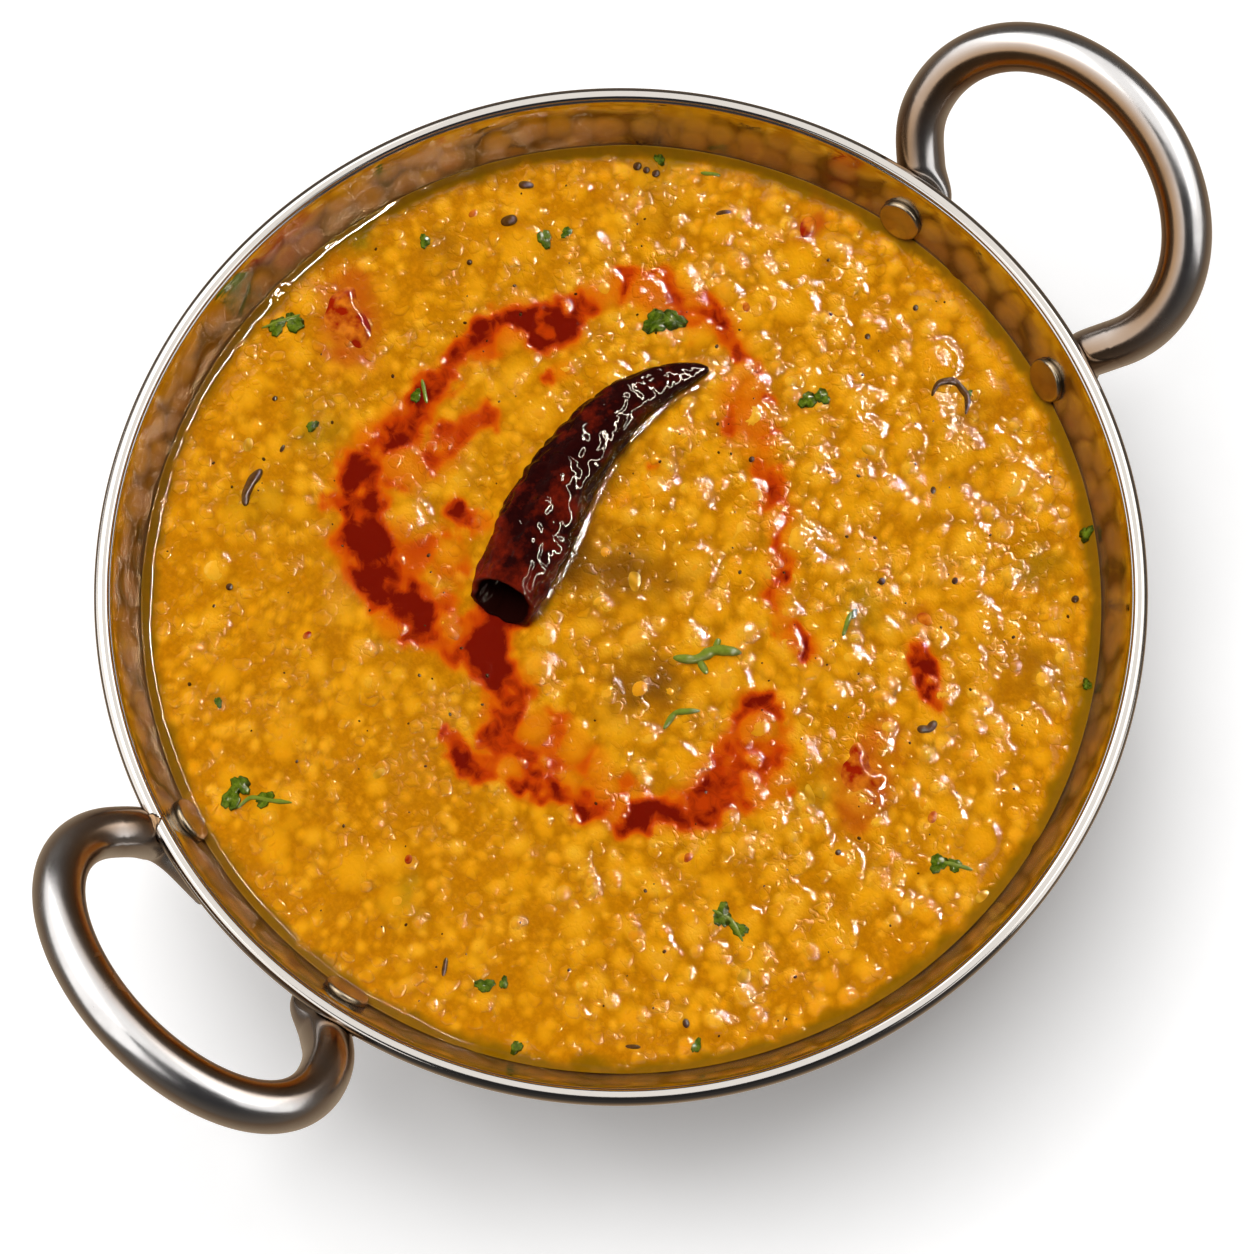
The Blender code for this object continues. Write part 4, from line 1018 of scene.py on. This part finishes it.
# Fried dry chilli skin: nearly black, blood red in thin places and more so near the open end,
# under a crinkled film of oil that breaks the light into bright threads.
chilli_finish, tree, shader, coords = new_finish("dried_chilli_skin")
mask = {name: put(tree, "Attribute", attribute_name=name).outputs["Fac"] for name in masks}
blotches = put(tree, "TexNoise", {"Vector": coords, "Scale": per(5.2 * MM), "Detail": 5.0, "Roughness": 0.62})
crackle = put(tree, "TexNoise", {"Vector": coords, "Scale": per(1.1 * MM), "Detail": 4.0, "Roughness": 0.6})
near_mouth = put(tree, "MapRange", [mask["along"], 0.75, 0.0, -0.11, 0.10])
shifted = put(tree, "Math", [blotches, near_mouth], operation="ADD")
redness = put(tree, "MapRange", [shifted, 0.47, 0.68])
dark = put(tree, "Mix", {0: crackle, 6: "#100304", 7: "#340A07"}, data_type="RGBA")
red = put(tree, "Mix", {0: crackle, 6: "#420805", 7: "#8E240C"}, data_type="RGBA")
skin_colour = put(tree, "Mix", {0: redness, 6: dark, 7: red}, data_type="RGBA")
hollow = put(tree, "Mix", {0: mask["inside"], 6: skin_colour, 7: "#1C0604"}, data_type="RGBA")
gloss = put(tree, "MapRange", [crackle, 0.35, 0.7, 0.08, 0.28])
relief = put(tree, "Bump", {"Height": crackle, "Distance": 0.25 * MM, "Strength": 0.6})
crinkle = put(tree, "TexNoise", {"Vector": coords, "Scale": per(1.5 * MM), "Detail": 1.0, "Roughness": 0.5})
film = put(tree, "Bump", {"Height": crinkle, "Distance": 0.24 * MM, "Strength": 0.8})
skin_gloss = put(tree, "MapRange", [mask["inside"], 0, 1, 0.4, 0.02])
wire(tree, shader, {"Base Color": hollow, "Roughness": gloss, "Normal": relief, "Coat Normal": film,
                    "Coat Weight": skin_gloss, "Specular IOR Level": 0.0, "Coat Roughness": 0.03})

piece = new_piece("chilli", points, faces, chilli_finish, masks)
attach(piece, "root")
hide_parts("dried_chilli")
lit["food"].append(piece)


# ---------------------------------------------------------------- coriander
# Torn coriander leaves, stirred in at the end: soft thin lobes that lie on the gravy.
# Each: (x, y, half length, half width, turn in degrees) in mm.
LEAVES = (
    (-12, 69, 1.9, 1.4, 20), (-9.6, 67.6, 2, 1.5, 80), (33.4, 29.6, 2.4, 2, 10), (35.8, 28, 2.3, 1.8, 120),
    (29.6, 52, 1.8, 1.2, 60), (33, 50.6, 1.2, 0.8, 10), (-66, 15, 2.3, 1.5, 30),
    (-63.6, 15.6, 1.9, 1.3, 100), (-62.4, 11.6, 1.7, 1.2, 0), (42.8, 4, 1.7, 1.4, 0), (45, 3, 1.5, 1.3, 75),
    (-22, -48, 2.1, 1.4, 40), (-21.6, -51.2, 1.7, 1.1, 110), (7.8, -63.8, 1.7, 1.4, 15),
    (9.4, -65.6, 1.3, 1.1, 100), (-58.4, -42.4, 1.2, 0.9, 10), (-55.8, -32.2, 1.7, 1.1, 140),
    (-53.4, -33.8, 1.1, 0.7, 40), (60.5, -41, 1.5, 1, 20), (15, 64.5, 1.4, 0.9, 55),
    (-18.5, 52.5, 1.2, 0.8, 0), (52.5, 50, 1.2, 0.8, 90), (-3, 45.5, 1.3, 0.8, 30),
    (24.5, -26.5, 1.1, 0.6, 10), (44, -58.5, 1.1, 0.7, 60), (-38, -60, 1.3, 0.7, 25),
    (62.5, -12, 0.9, 0.6, 0), (-58, 28, 1, 0.6, 70),
)
leaf_share, leaf_angle = np.linspace(0.05, 1, 6), round_angles(42)


def leaf(x, y, long, wide, degrees):
    """A flat rosette whose edge runs in and out as three lobes with small teeth (cosines of the
    angle), laid on the dal, crinkled by noise, with an underside 0.2 mm below."""
    lobes = 0.66 + 0.36 * abs(np.cos(1.5 * leaf_angle + x)) ** 0.8 + 0.05 * np.cos(10 * leaf_angle + y)
    spread = leaf_share[:, None] * lobes
    flat = np.stack([long * spread * np.cos(leaf_angle), wide * spread * np.sin(leaf_angle), 0 * spread], -1)
    flat = about_z(flat, degrees) + np.array([x, y, 0])
    crinkle = 0.30 * (noise(flat[..., :2], 0.9, 91) - 0.5) + 0.16 * (1 - leaf_share[:, None])
    top = dal_height(flat[..., 0], flat[..., 1]) / MM + crinkle + 0.14
    upper = np.stack([flat[..., 0], flat[..., 1], top], -1)
    lower = upper[::-1] - np.array([0, 0, 0.2])
    return skin(np.concatenate([lower, upper])[::-1])


def gather(shapes):
    """Many closed shapes, each points and faces, as the points and faces of one mesh."""
    points, faces, count = [], [], 0
    for shape_points, shape_faces in shapes:
        points.append(shape_points)
        faces += [[index + count for index in face] for face in shape_faces]
        count += len(shape_points)
    return np.concatenate(points) * MM, faces


# Wilted leaf: deep green, mottled paler, wet all over.
herb_finish = mottled("wilted_coriander_leaf", {"Scale": per(0.9 * MM), "Detail": 4.0, "Roughness": 0.65},
                      "#3A4E04", "#6E801A", {"Distance": 0.12 * MM, "Strength": 0.7},
                      WET, spread=(0.38, 0.66))

piece = new_piece("coriander_leaves", *gather([leaf(*row) for row in LEAVES]), herb_finish)
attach(piece, "root")
lit["food"].append(piece)


# ---------------------------------------------------------------- stalks and curls
# Short coriander stalks, and dark curls of fried onion and cumin, half sunk.
STRAND_STATIONS, STRAND_SIDES = 25, 10


def strand(path, radius):
    """A tube along a few places (x, y), rounded off by a moving average, lying on the dal and
    thinning to both ends."""
    path = np.array(path, float)
    run = np.concatenate([[0], np.cumsum(np.hypot(*np.diff(path, axis=0).T))])
    places = np.linspace(0, run[-1], STRAND_STATIONS)
    flat = np.stack([np.interp(places, run, path[:, axis]) for axis in (0, 1)], -1)
    for _ in range(3):
        flat[1:-1] = (flat[:-2] + flat[1:-1] + flat[2:]) / 3
    line = np.stack([flat[:, 0], flat[:, 1], dal_height(flat[:, 0], flat[:, 1]) / MM + 0.15 * radius], -1)
    line[1:-1, 2] = (line[:-2, 2] + line[1:-1, 2] + line[2:, 2]) / 3
    ahead = unit(np.gradient(line, axis=0))
    side_way = unit(np.cross([0, 0, 1.0], ahead))
    up_way = np.cross(ahead, side_way)
    around = round_angles(STRAND_SIDES)
    thick = radius * np.sqrt(np.clip(1 - abs(np.linspace(-0.98, 0.98, STRAND_STATIONS)) ** 3, 0, 1))
    thick = thick * (0.8 + 0.4 * noise(flat, 1.1, 93))
    return skin(line[:, None] + thick[:, None, None] * (side_way[:, None] * np.cos(around)[:, None]
                                                       + up_way[:, None] * np.sin(around)[:, None]))


# Each: places (x, y) along it, and its half width, in mm.
STALKS = (
    (((-1, -13.2), (1.4, -15.8), (4.6, -16.4), (7.4, -19.6)), 0.85), (((1.8, -16), (1.2, -18.6)), 0.6),
    (((4.6, -16.6), (6.4, -15.6)), 0.55), (((-9.5, -20.6), (-6.5, -19.8), (-3.5, -22.2)), 0.5),
    (((-66.4, 13.2), (-63.8, 13.4), (-61.6, 10.6), (-59.6, 8.4)), 0.4),
    (((-22.6, -46.4), (-21.4, -49.2), (-22.4, -53)), 0.35), (((-2.5, 43.5), (-0.5, 47)), 0.35),
    (((21, -28), (24.5, -26)), 0.4), (((8.5, -64), (11, -68)), 0.35), (((-14, 70.5), (-8, 68)), 0.3),
    (((56, 44), (58, 41.5)), 0.35),
)
CURLS = (
    (((58, -8.5), (60, -7.4), (62.6, -9), (62.2, -12.4), (60, -14.2)), 0.55),
    (((-29, 52.4), (-31.4, 52), (-33.4, 51), (-34.8, 49.4)), 0.8), (((26.2, 58.8), (28.6, 57.6)), 0.9),
    (((32.6, 61.8), (34.4, 60.2)), 0.6), (((-59.6, -27), (-57.4, -25.2)), 0.35),
    (((19.6, -46.4), (21, -47.6), (22.6, -47.4)), 0.7), (((53, 37), (55, 35.6)), 0.35),
    (((-46, -53), (-44.4, -54.6)), 0.3),
)

# Stalk: pale green and smooth. Curl: fried brown, mottled with nearly black.
stalk_finish = mottled("coriander_stalk", {"Scale": per(0.8 * MM), "Detail": 3.0},
                       "#5C6E14", "#8E9C34", {"Distance": 0.06 * MM, "Strength": 0.6}, WET)
curl_finish = mottled("fried_brown_curl", {"Scale": per(0.7 * MM), "Detail": 4.0},
                      "#1C0E04", "#7A4E1A", {"Distance": 0.12 * MM, "Strength": 0.8}, WET)

for name, rows, finish, slot in (("coriander_stalks", STALKS, stalk_finish, "herb"),
                                 ("fried_curls", CURLS, curl_finish, "spice")):
    piece = new_piece(name, *gather([strand(path, radius) for path, radius in rows]), finish)
    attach(piece, "root")
    lit["food"].append(piece)


# ---------------------------------------------------------------- spices and soft bits
# Mustard seeds and black specks, and soft bits of tomato and onion cooked nearly to nothing.
def on_dal(rows, out_share):
    """Rows of (x, y, half length, half width, turn) given the height of their tops, so that a
    share of each one's half width stands out of the dal."""
    rows = np.array(rows, float)
    top = (dal_height(rows[:, 0], rows[:, 1]) - DAL_LEVEL) / MM + out_share * rows[:, 3]
    return np.concatenate([rows, top[:, None]], 1)


# Each: (x, y, half length, half width, turn in degrees) in mm.
SEEDS = (
    (49, 51.5, .75, .70, 0), (49.6, 50, .60, .55, 0), (50.4, 48.6, .70, .60, 0), (31.5, -25.5, .65, .60, 0),
    (52, -47.5, .70, .60, 0), (-45, 41, .60, .55, 0), (-24.4, 52.8, .70, .32, 20), (29.6, 2.6, .55, .45, 0),
    (-37, -56.5, .75, .55, 60), (-2.5, -52.5, .50, .45, 0), (57, 5.5, .50, .45, 0), (66, 4, .55, .45, 30),
    (18, 57, .50, .45, 0), (-20, 60, .50, .40, 0), (40, -33, .60, .50, 20), (47.5, -20, .65, .45, 45),
)
SOFT_TOMATO = (
    (62.5, 25.5, 2.4, 1.5, 30), (32.5, -34.5, 1.7, 1.1, 100), (-20, -38, 1, .7, 0), (46, 22, 1.1, .7, 60),
    (-41, 27, .9, .6, 0), (12, -58, 1.2, .8, 20), (24, 63, 1.1, .7, 0), (-52, -10, .9, .7, 40),
)
SOFT_ONION = (
    (-25.5, -57, 2.2, 1.3, 20), (3.2, 0.6, 4.2, 1.5, 55), (0.5, -43, 2.8, 1.6, 60), (28, 24.5, 1.6, 1.1, 0),
    (-28, 57, 1.8, 1.2, 40), (44.5, -8.5, 1.9, 1.2, 100), (9.5, -72, 1.8, 1.3, 0), (-47, 3, 1.6, 1, 0),
)
speck_x, speck_y = sprinkle(190, level_radius - 3.0, 0.35)
speck_size = 0.13 + 0.18 * rng.random(len(speck_x)) ** 2
specks = np.stack([speck_x, speck_y, speck_size * 1.3, speck_size, 360 * rng.random(len(speck_x))], -1)
specks = specks[gap_to_chilli(speck_x, speck_y) > 0.5]

# Seed coat: dark brown, nearly black. Onion: a clear pale amber jelly with faint fibres.
seed_finish = mottled("fried_seed_coat", {"Scale": per(0.35 * MM), "Detail": 3.0},
                      "#180B04", "#6A3E10", {"Distance": 0.05 * MM, "Strength": 0.7}, WET)
onion_finish = mottled("softened_onion", {"Scale": per(6 * MM), "Distortion": 3.0, "Detail": 2.0},
                       "#C4860E", "#E8A826", {"Distance": 0.08 * MM, "Strength": 0.6},
                       WET | {"Coat Weight": 1.0, "Coat Roughness": 0.04, "Subsurface Weight": 0.5,
                              "Subsurface Radius": (1.0, 0.6, 0.2), "Subsurface Scale": 1.5 * MM},
                       kind="TexWave")

for name, rows, out_share, sides, levels, finish, slot in (
        ("mustard_seeds", SEEDS, 1.1, 12, 6, seed_finish, "spice"),
        ("black_specks", specks, 0.9, 6, 3, seed_finish, "spice"),
        ("soft_tomato", SOFT_TOMATO, 0.35, 20, 10, tomato_finish, "tomato"),
        ("soft_onion", SOFT_ONION, 0.18, 20, 10, onion_finish, "dal")):
    piece = new_piece(name, *lentil_shapes(on_dal(rows, out_share), sides, levels)[:2], finish)
    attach(piece, "root")
    lit["food"].append(piece)


# ---------------------------------------------------------------- floor, lamps
# A white table top in a soft studio: one wide lamp lights it all and casts the shadow, three
# thin strips draw the gleams on the wet food, and three panels those on the metal.
floor_finish, tree, shader, coords = new_finish("white_board")
paper = put(tree, "TexNoise", {"Vector": coords, "Scale": per(4 * MM), "Detail": 3.0})
tone = put(tree, "Mix", {0: paper, 6: "#FBFBFB", 7: "#F7F7F7"}, data_type="RGBA")
wire(tree, shader, {"Base Color": tone, "Roughness": 0.7, "Emission Color": "#FFFFFF",
                    "Emission Strength": 0.26})
TABLE_HALF = 8.0
corners = np.array([(-1, -1, 0), (1, -1, 0), (1, 1, 0), (-1, 1, 0)]) * TABLE_HALF
floor = new_piece("floor", corners, [[0, 1, 2, 3]], floor_finish)
floor.visible_glossy = False                  # polished metal shows the dim room, not the bright table

groups = {}
for group, pieces in lit.items():
    groups[group] = bpy.data.collections.new(group)
    for piece in pieces:
        groups[group].objects.link(piece)


WARM_WHITE = (1.0, 0.90, 0.72)


def lamp(name, azimuth, elevation, distance, wide, high, watts, lights):
    """A soft panel that faces the rim's middle. Azimuth is measured from the picture's right,
    counterclockwise; elevation is above the horizon; both in degrees. It lights surfaces, or
    shows only in the gloss of one group of pieces."""
    a, e = math.radians(azimuth), math.radians(elevation)
    ground_up = np.array([-picture_right[1], picture_right[0], 0])
    toward = (picture_right * math.cos(a) + ground_up * math.sin(a)) * math.cos(e) + [0, 0, math.sin(e)]
    data = bpy.data.lights.new(name, "AREA")
    data.shape = "RECTANGLE"
    data.size, data.size_y = wide, high
    data.energy = watts
    data.color = WARM_WHITE if lights == "food" else (1, 1, 1)
    item = bpy.data.objects.new(name, data)
    item.visible_glossy = lights != "surfaces"
    item.visible_diffuse = lights == "surfaces"
    if lights != "surfaces":
        item.light_linking.receiver_collection = groups[lights]
    bpy.context.collection.objects.link(item)
    sideways = unit(np.cross([0, 0, 1.0], toward))
    upright = np.cross(toward, sideways)
    place = np.array([0, 0, RIM_TOP]) + toward * distance
    turn = Matrix(np.stack([sideways, upright, toward], 1).tolist())
    item.matrix_world = Matrix.Translation(place.tolist()) @ turn.to_4x4()


for settings in (
        ("wide_lamp", 132, 73, 2.0, 1.5, 1.5, 47.0, "surfaces"),
        ("right_strip", 0, 40, 0.7, 0.60, 0.016, 8.8, "food"),
        ("upper_right_strip", 52, 42, 0.7, 0.58, 0.014, 5.6, "food"),
        ("lower_right_strip", -55, 36, 0.7, 0.58, 0.014, 6.8, "food"),
        ("overhead_panel", 80, 66, 1.0, 2.2, 1.1, 11.0, "metal"),
        ("left_panel", 172, 46, 1.0, 1.6, 1.1, 9.5, "metal"),
        ("right_panel", 5, 44, 1.0, 1.2, 0.8, 4.5, "metal")):
    lamp(*settings)

world = bpy.data.worlds.new("studio")
world.use_nodes = True
bpy.context.scene.world = world
tree = world.node_tree
direction = put(tree, "TexCoord").outputs["Generated"]
up_part = put(tree, "SeparateXYZ", [direction])
rise = put(tree, "MapRange", [up_part.outputs["Z"], 0.12, 0.70])
sink = put(tree, "MapRange", [up_part.outputs["Z"], -0.05, -0.9])
sky = put(tree, "Mix", {0: rise, 6: "#6A625A", 7: "#343436"}, data_type="RGBA")
below = put(tree, "Mix", {0: sink, 6: "#6E5844", 7: "#B4A088"}, data_type="RGBA")
side = put(tree, "MapRange", [up_part.outputs["Z"], -0.08, 0.06])
sky = put(tree, "Mix", {0: side, 6: below, 7: sky}, data_type="RGBA")
wire(tree, tree.nodes["Background"], {"Color": sky, "Strength": 1.0})

view = bpy.context.scene.view_settings
view.view_transform, view.look, view.exposure = "Standard", "None", 0.0
